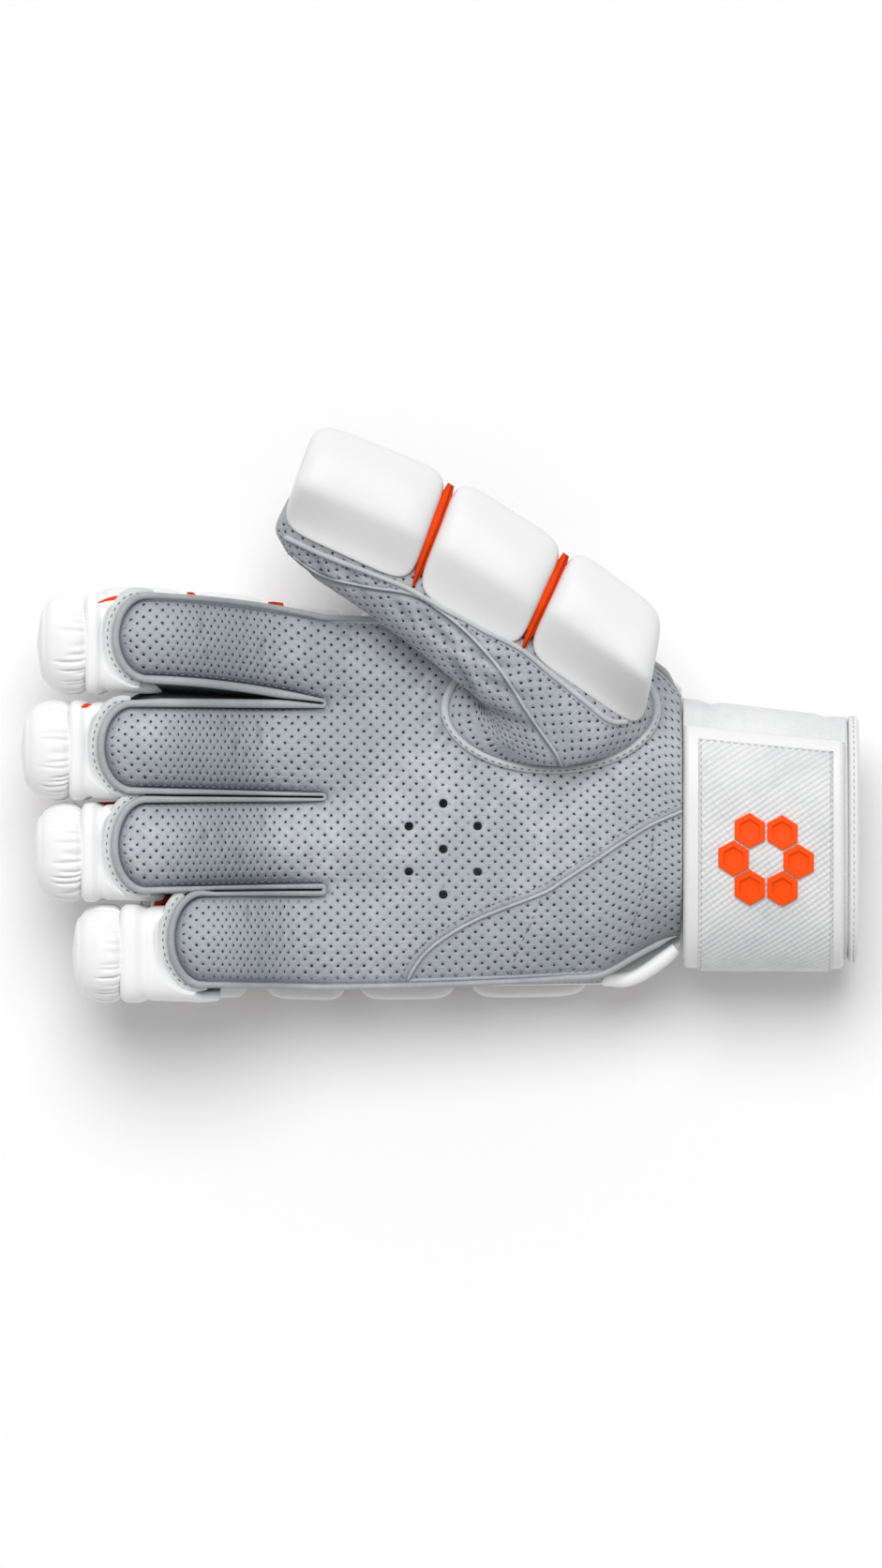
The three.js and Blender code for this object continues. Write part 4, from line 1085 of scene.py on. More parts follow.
    def draw(self) -> Draft:
        """Draws the whole sheet before it is cut into its pieces.

        Returns:
            The sheet, with its map, and with no painted shade or punched area yet.
        """
        draft = Draft()
        shares: list[float] = []
        ridges: list[float] = []
        for k, lane in enumerate(LANES):
            w = np.linspace(-1, 1, 29)
            shares.extend(lane.share(w).tolist())
            ridges.extend((1 - w * w).tolist())
            if k < 3:
                gap = np.linspace(lane.share(1.0), LANES[k + 1].share(-1.0), 5)[1:-1]
                shares.extend(gap.tolist())
                ridges.extend([0.0] * len(gap))
        share = np.array(shares)
        s = -np.linspace(PALM_LENGTH, 0, 116)
        hand = HAND.palm(s[:, None], share[None], np.array(ridges)[None])
        flat = HAND.palm(np.zeros(1), share, 0 * share)[..., 1]
        maps = np.stack(np.broadcast_arrays(s[:, None], flat[None]), -1)
        draft.lattice(hand, maps)
        for lane in LANES:
            rows = lane.tip_rows(0.0, 1.0)
            w = np.linspace(-1, 1, 29)
            points = lane.palm(rows[:, None], w[None])
            t = rows / lane.reach
            dense = 1 + 0.85 * smooth(lane.bend_from, 0.35, t) * smooth(0.85, 0.6, t)
            u = np.concatenate([[0], np.cumsum(np.diff(rows) * (dense[1:] + dense[:-1]) / 2)])
            v = lane.palm(np.zeros(29), w)[:, 1]
            draft.lattice(points, np.stack(np.broadcast_arrays(u[:, None], v[None]), -1))
        return draft

    def shape(self, draft: Draft) -> None:
        """Gives the sheet its edge valley, lapped heel, wrinkles, painted shade and punched area."""
        points, maps, marks = draft.arrays()
        edge = distance_to(self.outline(), points[:, :2])
        heel = -side_of(self.heel_line(), points[:, :2])
        finger = smooth(-8, 2, WEB_X - points[:, 0])
        valley = np.exp(-((edge / 1.25) ** 2)) * lerp(0.6, 1.0, finger)
        points[:, 2] -= self.valley * valley
        points[:, 2] += 0.6 * smooth(0.5, 4.5, edge) * finger
        points[:, 2] -= self.lap * smooth(-0.55, 0.55, -heel)
        folds = np.zeros(len(points))
        for crease in self.creases():
            folds += 1.5 * crease.sink(points[:, :2])
        points[:, 2] -= folds
        opening = np.hypot(
            (points[:, 0] - self.opening[0]) / self.opening[2], (points[:, 1] - self.opening[1]) / self.opening[3]
        )
        lane_bend = np.zeros(len(points))
        for lane in LANES:
            t = (WEB_X - points[:, 0]) / lane.reach
            near = np.abs(points[:, 1] - lane.middle(WEB_X - points[:, 0])) < lane.half(WEB_X - points[:, 0]) + 1
            lane_bend = np.where(near, smooth(0.1, 0.45, t) * smooth(1.0, 0.6, t), lane_bend)
        # Painted shade in the valley along the edge, across the bent fingers, round the thumb's opening, below the
        # heel's lapped edge and in the creases; the heel piece is a little darker all over.
        soil_and_shade = 0.75 * valley * finger + 0.42 * lane_bend + 0.35 * smooth(1.25, 1.02, opening) + 0.12 * (heel < 0)
        soil_and_shade += 0.7 * np.exp(-(((heel + 0.7) / 0.9) ** 2)) + 0.5 * np.clip(folds, 0, 1)
        # Patches of painted shade, and patches with negative amounts that take painted shade away where the palm is lit
        # brighter.
        for spot, size, deep in (
            ((343, 702), 17, 0.4), ((610, 1010), 22, 0.3), ((570, 950), 24, -0.14), ((160, 700), 9, -0.1),
            ((410, 765), 26, 0.3), ((250, 1000), 12, -0.25),
        ):  # fmt: skip
            soil_and_shade += deep * np.exp(-(((points[:, :2] - on_photo(spot)) ** 2).sum(1)) / size**2)
        marks[:, 0] = np.clip(soil_and_shade, 0, 1)
        holes = smooth(1.3, 1.6, edge) * smooth(0.9, 1.5, np.abs(heel)) * (opening > 1.06)
        for vent in self.vents():
            holes *= np.linalg.norm(points[:, :2] - vent, axis=1) > self.vent_radius + 1.2
        marks[:, 1] = holes
        draft.points, draft.maps, draft.marks = [points], [maps], [marks]

    def punch(self, draft: Draft, middle: tuple[float, float], half_x: float, half_y: float) -> None:
        """Cuts an oval hole and draws the cut edge onto the oval.

        Args:
            draft: the sheet.
            middle: the oval's middle.
            half_x: half its length along X.
            half_y: half its width.
        """
        points = draft.points[0]
        faces = np.concatenate(draft.faces)
        map_faces = np.concatenate(draft.map_faces)
        away = (points[:, :2] - np.array(middle)) / np.array([half_x, half_y])
        far = np.linalg.norm(away, axis=1)
        inside = far[faces].mean(1) < 1
        kept = np.unique(faces[~inside])
        cut = np.unique(faces[inside])
        rim = np.intersect1d(kept, cut)
        points[rim, :2] = np.array(middle) + away[rim] / far[rim, None] * np.array([half_x, half_y])
        draft.faces = [faces[~inside]]
        draft.map_faces = [map_faces[~inside]]

    def build(self) -> None:
        """Builds the palm leather and the heel leather."""
        draft = self.draw()
        self.shape(draft)
        for x, y in self.vents():
            self.punch(draft, (x, y), self.vent_radius, self.vent_radius)
        x, y, half_x, half_y = self.opening
        self.punch(draft, (x, y), half_x, half_y)
        faces, map_faces = draft.faces[0], draft.map_faces[0]
        heel = -side_of(self.heel_line(), draft.points[0][:, :2])[faces].mean(1)
        for name, chosen, nodes in (
            ("palm_leather", heel > -0.6, ["palm_panel"]),
            ("heel_leather", heel <= -0.6, ["heel_panel"]),
        ):
            draft.faces, draft.map_faces = [faces[chosen]], [map_faces[chosen]]
            piece = draft.make(name, PALM_FINISH, upward=True, wall=self.leather)
            self.pieces[name] = settle(piece, nodes)

    def dress(self, stitch: Pattern) -> None:
        """Adds the piping, the heel's lapped edge and the stitches.

        Args:
            stitch: one stitch of thread.
        """
        drape = Drape(*self.pieces.values())
        edge = self.outline()
        trim = Draft()
        flat, size = self.border()
        level, _ = drape.lay(smoothed(offset_path(edge, -2.2), 4), 0.0)
        height = level_along(flat, level)
        trim.tube(np.hstack([flat, height[:, None] - 0.55]), size * 1.06, 12, flat=0.8)
        seam = Draft()
        lap, _ = drape.lay(offset_path(self.heel_line()[2:-4], 0.3), 0.1)
        seam.tube(smoothed(lap, 3), 0.62, 8, flat=0.9)
        self.pieces["heel_seam"] = settle(seam.make("heel_seam_bead", TRIM_FINISH, closed=True), [])
        self.pieces["palm_border"] = settle(trim.make("palm_border", BORDER_FINISH, closed=True), [])
        thread = Draft()
        inner, normals = drape.lay(smoothed(offset_path(edge, -0.9), 6), 0.12)
        stitch_line(thread, stitch, inner, normals, 2.5)
        row = Draft()
        path, normals = drape.lay(offset_path(self.heel_line()[2:-4], -2.0), 0.08)
        stitch_line(row, stitch, path, normals, 2.3)
        for marks in (((579, 954), (566, 985), (552, 1015), (543, 1047)), ((698, 884), (692, 925), (682, 965), (671, 1001))):
            path, normals = drape.lay(curve_through(on_photo(*marks), 1.0), 0.08)
            stitch_line(row, stitch, path, normals, 2.6)
        piece = thread.make("palm_edge_stitches", EDGE_THREAD_FINISH, closed=True)
        self.pieces["edge_stitches"] = settle(piece, [])
        piece = row.make("heel_stitches", THREAD_FINISH, closed=True)
        self.pieces["heel_stitches"] = settle(piece, [])


@dataclass
class Finger:
    """One finger behind its palm leather: side wall, gusset, blocks, cap and collar."""

    lane: Lane
    wall: float = 1.3
    cap_length: float = 15.2
    cap_height: float = 34.0
    cap_rise: float = 46.0
    pleats: int = 40
    seed: int = 1
    band_turn: tuple[float, float] = (-90, 90)
    pieces: Nodes = field(default_factory=dict)

    @property
    def cap_end(self) -> float:
        """Where the fingertip cap ends."""
        return WEB_X - self.lane.reach - self.lane.overhang * PALM_WIDTH

    @property
    def cap_y(self) -> float:
        """The cap's middle."""
        return PALM_Y + self.lane.cap * PALM_WIDTH

    @property
    def cap_half(self) -> float:
        """Half the cap's width."""
        return self.lane.cap_half * PALM_WIDTH

    def wall_rows(self) -> tuple[Array, Array]:
        """Places along the side wall as distances from the web and sides, round the fingertip."""
        lane = self.lane
        rows = lane.tip_rows(0.0, 1.5)
        ends = []
        for side, outer, share in ((-1.0, lane is LITTLE, 0.78), (1.0, lane is INDEX, 0.94)):
            extra = np.arange(-PALM_LENGTH * share, 0, 2.0) if outer else np.array([-1.0])
            ends.append((np.concatenate([extra, rows]), side))
        s = np.concatenate([ends[0][0], ends[1][0][::-1][1:]])
        w = np.concatenate([np.full(len(ends[0][0]), -1.0), np.full(len(ends[1][0]) - 1, 1.0)])
        return s, w

    def room(self, s: Array, w: Array) -> Array:
        """Half the space to the neighbouring finger, at places along the side wall.

        Args:
            s: distances from the web.
            w: the side, -1 or 1.

        Returns:
            The room, 0 where there is no neighbour.
        """
        lane = self.lane
        k = LANES.index(lane)
        made = np.zeros_like(s)
        for step in (-1, 1):
            if not 0 <= k + step < len(LANES):
                continue
            other = LANES[k + step]
            gap = np.abs(other.middle(s) - lane.middle(s)) - other.half(s) - lane.half(s)
            both = smooth(other.reach, other.reach - 12, s) * smooth(lane.reach - 2, lane.reach - 14, s) * (s > 0)
            made = np.where(w == step, np.clip(gap / 2 - 0.7, 0.11, 4) * both, made)
        return made

    def build_wall(self) -> None:
        """Builds the side wall, a strip between the palm leather and the back."""
        lane = self.lane
        s, w = self.wall_rows()
        top = lane.palm(s, w)
        foot = lane.back(s, w)
        middle = s == -1.0
        top[middle, 1] += 1.2 * w[middle]
        foot[middle, 1] += 1.2 * w[middle]
        ahead = np.gradient(top[:, :2], axis=0)
        ahead /= np.linalg.norm(ahead, axis=1)[:, None]
        out = np.stack([ahead[:, 1] * -1, ahead[:, 0], 0 * s], -1)
        share = np.linspace(0, 1, 17)
        bulge = 0.9 * np.sin(np.pi * share) + 0.35 * np.exp(-(((share - 0.36) / 0.09) ** 2)) - 0.35
        flare = self.room(s, w)[None] * (smooth(0.12, 0.5, share) * smooth(1.08, 0.85, share))[:, None]
        points = lerp(top[None] - (0, 0, 0.5), foot[None] + (0, 0, 1.0), share[:, None, None])
        points = points + out[None] * (bulge[:, None] + flare)[..., None]
        draft = Draft()
        faces_out = (flare.max(0) < 0.1).astype(float)[None]
        holes = (smooth(0.45, 0.5, share) * smooth(0.95, 0.9, share))[:, None] * faces_out
        # Painted shade: the wall darker towards the back, and near-black where it flares into the gap beside the next
        # finger.
        soil_and_shade = (0.2 + 0.3 * smooth(0.2, 1.0, share))[:, None] + 1.6 * (1 - faces_out) * smooth(0.1, 0.4, share)[:, None]
        draft.lattice(points, soil_and_shade=soil_and_shade, holes=holes)
        name = f"{lane.name}_wall"
        piece = draft.make(name, PALM_FINISH)
        centre = np.array([WEB_X - lane.reach * 0.5, lane.middle(lane.reach * 0.5)])
        face_outwards(piece, centre)
        thicken(piece, self.wall)
        self.pieces[name] = settle(piece, [f"{lane.name}_sidewall"])
        self.seam_top = points[2]
        self.seam_out = out

    def build_gusset(self) -> None:
        """Builds the coloured cloth under the blocks, folded down between them."""
        lane = self.lane
        end = -1.25 * FINGER_REACH
        s = np.arange(end, lane.reach + 2.6, 0.8)
        w = np.linspace(-1, 1, 15)
        out = np.where(lane.pad_out * w > 0, abs(lane.pad_out) * PALM_WIDTH / lane.half(0.0), 0)
        deep = np.zeros_like(s)
        for at, depth in ((lane.far_groove, 13), (lane.near_groove, 13), (-0.13, 13), (-0.64, 15.6)):
            deep += 0.6 * depth * np.exp(-(((s - at * FINGER_REACH) / 0.95) ** 4))
        ends = np.where(np.abs(w) > 0.9, 0.9, 1.0)
        shown = lane.far_groove * FINGER_REACH - 4
        shown = shown if lane is LITTLE else (lane.near_groove * FINGER_REACH - 4 if lane is INDEX else 999)
        joint = smooth(0.5, 4, deep) * (s > shown)
        wide = 0.93 + 0.9 * out[None] * joint[:, None] * smooth(0.5, 1, np.abs(w))[None]
        points = lane.under(s[:, None], w[None] * wide, 0.5 + deep[:, None] * ends[None])
        draft = Draft()
        # Painted shade where the cloth folds deep between the blocks.
        draft.lattice(points, soil_and_shade=0.5 * smooth(1, 6, deep)[:, None] + 0 * w[None])
        piece = draft.make(f"{lane.name}_gusset_cloth", GUSSET_FINISH, upward=True, wall=0.9)
        self.pieces["gusset"] = settle(piece, [f"{lane.name}_gusset"])

    def build_blocks(self) -> None:
        """Builds the padded blocks on the finger's and the hand's back."""
        lane = self.lane
        knuckle, hand, wrist = -0.13, -0.64, -1.25
        rows = (
            ("pad_1", lane.pad_end, lane.far_groove, False),
            ("pad_2", lane.far_groove, lane.near_groove, False),
            ("pad_3", lane.near_groove, knuckle, False),
            ("knuckle_pad", knuckle, hand, True),
            ("hand_pad", hand, wrist, True),
        )
        for label, start, end, on_hand in rows:
            form = rounded_box(14, 5.0)
            a, b, c = form.points[:, 0], form.points[:, 1], form.points[:, 2]
            low = start * FINGER_REACH - 1.3
            high = end * FINGER_REACH + 1.3
            s = lerp(high, low, (a + 1) / 2)
            inset = 1 - 0.4 / lane.half(0.0)
            out = lane.pad_out * PALM_WIDTH / lane.half(0.0)
            w = b * inset + np.where(b * out > 0, out * smooth(0.4, 1.0, np.abs(b)), 0)
            share = (1 - c) / 2
            if on_hand:
                points = lane.under(s, w, 1.9)
                seat = 1.5 if abs(lane.root) > 0.25 else 0.0
                points[:, 2] = lerp(points[:, 2], seat, share)
            else:
                points = lane.under(s, w, 1.6 + FINGER_PAD * share)
            draft = Draft()
            rise = np.zeros(len(points))
            draft.points, draft.maps = [points], [form.points[:, :2] * 14]
            draft.marks = [np.stack([rise, rise], -1)]
            draft.faces = [np.array(form.faces)]
            draft.map_faces = [np.array(form.faces)]
            piece = draft.make(f"{lane.name}_{label}_block", PAD_FINISH, closed=True)
            self.pieces[label] = settle(piece, [f"{lane.name}_{label}"])

    def build_cap(self) -> None:
        """Builds the gathered fingertip cap."""
        turns = 240
        angle = 2 * np.pi * (np.arange(turns) + 0.5) / turns
        at = np.concatenate([np.linspace(-0.08, 0.7, 40), np.linspace(0.72, 1, 16)])
        size = eased((-0.08, 0, 0.25, 0.55, 0.8, 0.94, 1), (0.84, 0.93, 1, 0.95, 0.77, 0.48, 0.03), at)
        rng = np.random.default_rng(self.seed)
        sink = np.zeros((len(at), turns))
        for k in range(self.pleats):
            place = 2 * np.pi * (k + rng.uniform(-0.28, 0.28)) / self.pleats
            wide = rng.uniform(0.02, 0.036)
            long = rng.uniform(0.34, 0.68)
            deep = rng.uniform(0.45, 1.25)
            off = (angle - place + np.pi) % (2 * np.pi) - np.pi
            bent = off[None] + 0.05 * rng.uniform(-1, 1) * at[:, None]
            fade = smooth(long + 0.06, long - 0.3, at) * smooth(-0.1, 0.05, at)
            sink += deep * fade[:, None] * np.exp(-((bent / wide) ** 2))
        power = 2.4
        cos = np.sign(np.cos(angle)) * np.abs(np.cos(angle)) ** (2 / power)
        sin = np.sign(np.sin(angle)) * np.abs(np.sin(angle)) ** (2 / power)
        points = np.stack(
            [
                (self.cap_end + self.cap_length * (1 - at))[:, None] + 0 * cos[None],
                self.cap_y + (self.cap_half * size[:, None] - sink) * cos[None],
                self.cap_rise + (self.cap_height / 2 * size[:, None] - sink) * sin[None],
            ],
            -1,
        )
        draft = Draft()
        first = points[:1].mean(1, keepdims=True) + 0 * points[:1]
        last = points[-1:].mean(1, keepdims=True) + 0 * points[-1:]
        # Painted shade in the cap's pleats.
        soil_and_shade = np.vstack([np.zeros((1, turns)), np.clip(sink * 0.45, 0, 0.5), np.zeros((1, turns))])
        draft.lattice(np.concatenate([first, points, last]), wrap=True, soil_and_shade=soil_and_shade)
        piece = draft.make(f"{self.lane.name}_cap_leather", WHITE_FINISH, closed=True)
        self.pieces["cap"] = settle(piece, [f"{self.lane.name}_cap"])

    def build_collar(self) -> None:
        """Builds the collar between the cap and the finger, with its soft roll at the cap's side."""
        lane = self.lane
        start = WEB_X - lane.reach + TIP_ROUND + 5.5
        end = self.cap_end + self.cap_length + 0.35
        low = BACK_OUTER + CURL
        high = PALM_BASE + FINGER_DEPTH + CURL + 2
        share = np.array([0, 0.03, 0.08, 0.3, 0.5, 0.62, 0.68, 0.74, 0.8, 0.87, 0.94, 0.98, 1.0])
        size = np.array([0.92, 0.965, 0.98, 0.975, 0.965, 0.955, 0.925, 0.955, 0.995, 1.0, 0.985, 0.93, 0.88])
        fine = np.linspace(0, 1, 60)
        grow = eased(share, size, fine)
        turns = 160
        angle = 2 * np.pi * (np.arange(turns) + 0.5) / turns
        cos = np.sign(np.cos(angle)) * np.abs(np.cos(angle)) ** (2 / 4)
        sin = np.sign(np.sin(angle)) * np.abs(np.sin(angle)) ** (2 / 4)
        rise = 0.03 + grow
        outer = np.stack(
            [
                lerp(start - 8 * smooth(-0.3, 0.9, sin)[None], end, fine[:, None]),
                self.cap_y + self.cap_half * grow[:, None] * cos[None],
                (low + high) / 2 + (high - low) / 2 * rise[:, None] * sin[None],
            ],
            -1,
        )
        room = lane.outside(outer[..., :2])
        roof = high - 3.4 + 2.6 * smooth(3.0, 6.0, room) + 3.0 * smooth(6.0, 8.5, room)
        outer[..., 2] = np.where(outer[..., 2] > 50, np.minimum(outer[..., 2], roof), outer[..., 2])
        middle = np.array([0, self.cap_y, (low + high) / 2])
        inner = middle + (outer - middle) * np.array([1, 0.84, 0.84])
        inner[..., 0] = outer[..., 0]
        ring = np.concatenate([outer, inner[::-1], outer[:1]])
        draft = Draft()
        draft.lattice(ring, wrap=True)
        piece = draft.make(f"{lane.name}_collar_leather", WHITE_FINISH, closed=True)
        self.pieces["collar"] = settle(piece, [f"{lane.name}_collar"])

    def build(self) -> None:
        """Builds the finger's pieces in order."""
        self.build_wall()
        self.build_gusset()
        self.build_blocks()
        self.build_cap()
        self.build_collar()
        self.build_ticks()

    def build_ticks(self) -> None:
        """Lays the gusset's visible ends along the collar's side."""
        paths = {
            "index": ((105, 643), (118, 639.5), (135, 637), (152, 636)),
            "middle": ((87, 754.5), (92, 753), (98, 752)),
        }
        if self.lane.name not in paths:
            return
        drape = Drape(self.pieces["collar"])
        path, _ = drape.lay(curve_through(on_photo(*paths[self.lane.name]), 0.8), 0.15)
        size = 0.75 * np.sin(np.pi * np.linspace(0.06, 0.94, len(path)))
        draft = Draft()
        draft.tube(path, size, 8)
        piece = draft.make(f"{self.lane.name}_gusset_end", GUSSET_FINISH, closed=True)
        self.pieces["ticks"] = settle(piece, [])

    def tip_band(self, away: float) -> Array:
        """A line round the fingertip outside its border, which comes nearer to it at the sides."""
        lane = self.lane
        turn = np.radians(np.linspace(*self.band_turn, 90))
        part = np.clip(np.abs(turn) / math.radians(100), 0, 1)
        out = away - 2.6 * smooth(0.55, 1.0, part)
        s = lane.reach - TIP_ROUND + (TIP_ROUND + out) * np.cos(turn)
        y = lane.middle(lane.reach) + (lane.half(lane.reach) + out * 0.8) * np.sin(turn)
        z = PALM_BASE + FINGER_DEPTH + CURL - 0.7 - 1.1 * smooth(0.5, 1.0, part)
        return np.stack([WEB_X - s, y, z + 0 * s], -1)

    def dress(self, stitch: Pattern) -> None:
        """Adds the stitches on the wall's upper band and the stitched band round the fingertip."""
        thread = Draft()
        band = self.tip_band(3.8)
        trim = Draft()
        trim.tube(band, 1.9, 12, flat=0.5)
        piece = trim.make(f"{self.lane.name}_tip_band", BAND_FINISH, closed=True)
        self.pieces["band"] = settle(piece, [])
        top = np.broadcast_to(np.array([0, 0, 1.0]), band.shape)
        stitch_line(thread, stitch, band[6:-6] + (0, 0, 0.95), top[6:-6], 2.4)
        path = self.seam_top + self.seam_out * 0.1
        stitch_line(thread, stitch, smoothed(path), self.seam_out + (0, 0, 0.35), 2.3)
        piece = thread.make(f"{self.lane.name}_stitches", THREAD_FINISH, closed=True)
        self.pieces["stitches"] = settle(piece, [])


def level_along(flat: Array, level: Array) -> Array:
    """Heights for a path in the plane, each the mean of those of the nearest places of another path."""
    made = []
    for part in np.array_split(flat, max(1, len(flat) // 800)):
        far = np.linalg.norm(part[:, None] - level[None, :, :2], axis=2)
        weight = 1 / (far**4 + 0.5)
        made.append((weight * level[None, :, 2]).sum(1) / weight.sum(1))
    return np.concatenate(made)


def face_outwards(piece: bpy.types.Object, middle: Array) -> None:
    """Turns a strip's faces away from a place in the plane, in millimetres."""
    work = bmesh.new()
    work.from_mesh(piece.data)
    away = 0.0
    for face in work.faces:
        spot = face.calc_center_median()
        away += face.calc_area() * (face.normal.x * (spot.x - middle[0] / 1000) + face.normal.y * (spot.y - middle[1] / 1000))
    if away < 0:
        bmesh.ops.reverse_faces(work, faces=work.faces)
        work.to_mesh(piece.data)
    work.free()


def rounded_box(steps: int, power: float) -> Pattern:
    """A closed box with rounded corners and crowned faces, from -1 to 1 each way.

    Args:
        steps: cells along each edge.
        power: how square it is.

    Returns:
        The form.
    """
    line = np.linspace(-1, 1, steps + 1)
    line = np.sign(line) * np.abs(line) ** 0.8
    u, v = np.meshgrid(line, line, indexing="ij")
    one = np.ones_like(u)
    sides = [
        np.stack([u, v, one], -1),
        np.stack([v, u, -one], -1),
        np.stack([one, u, v], -1),
        np.stack([-one, v, u], -1),
        np.stack([v, one, u], -1),
        np.stack([u, -one, v], -1),
    ]
    points = np.concatenate([side.reshape(-1, 3) for side in sides])
    points = points / (np.sum(np.abs(points) ** power, axis=1) ** (1 / power))[:, None]
    faces = []
    for k in range(6):
        index = k * (steps + 1) ** 2 + np.arange((steps + 1) ** 2).reshape(steps + 1, steps + 1)
        quads = np.stack([index[:-1, :-1], index[1:, :-1], index[1:, 1:], index[:-1, 1:]], -1)
        faces.extend(map(tuple, quads.reshape(-1, 4).tolist()))
    return Pattern(points, faces)


@dataclass
class Back:
    """The white back leather, which closes the glove below and carries the blocks."""

    leather: float = 1.5
    pieces: Nodes = field(default_factory=dict)

    def build(self) -> None:
        """Builds the back leather with its four finger backs."""
        draft = Draft()
        shares: list[float] = []
        for k, lane in enumerate(LANES):
            shares.extend(lane.share(np.linspace(-1, 1, 13)).tolist())
            if k < 3:
                shares.extend(np.linspace(lane.share(1.0), LANES[k + 1].share(-1.0), 3)[1:-1].tolist())
        share = np.array(shares)
        s = -np.linspace(PALM_LENGTH, 0, 50)
        draft.lattice(HAND.back(s[:, None], share[None]))
        for lane in LANES:
            rows = lane.tip_rows(0.0, 2.0)
            draft.lattice(lane.back(rows[:, None], np.linspace(-1, 1, 13)[None]))
        piece = draft.make("back_leather", WHITE_FINISH, upward=True)
        flip = bmesh.new()
        flip.from_mesh(piece.data)
        bmesh.ops.reverse_faces(flip, faces=flip.faces)
        flip.to_mesh(piece.data)
        flip.free()
        thicken(piece, self.leather)
        self.pieces["back"] = settle(piece, ["back_panel"])


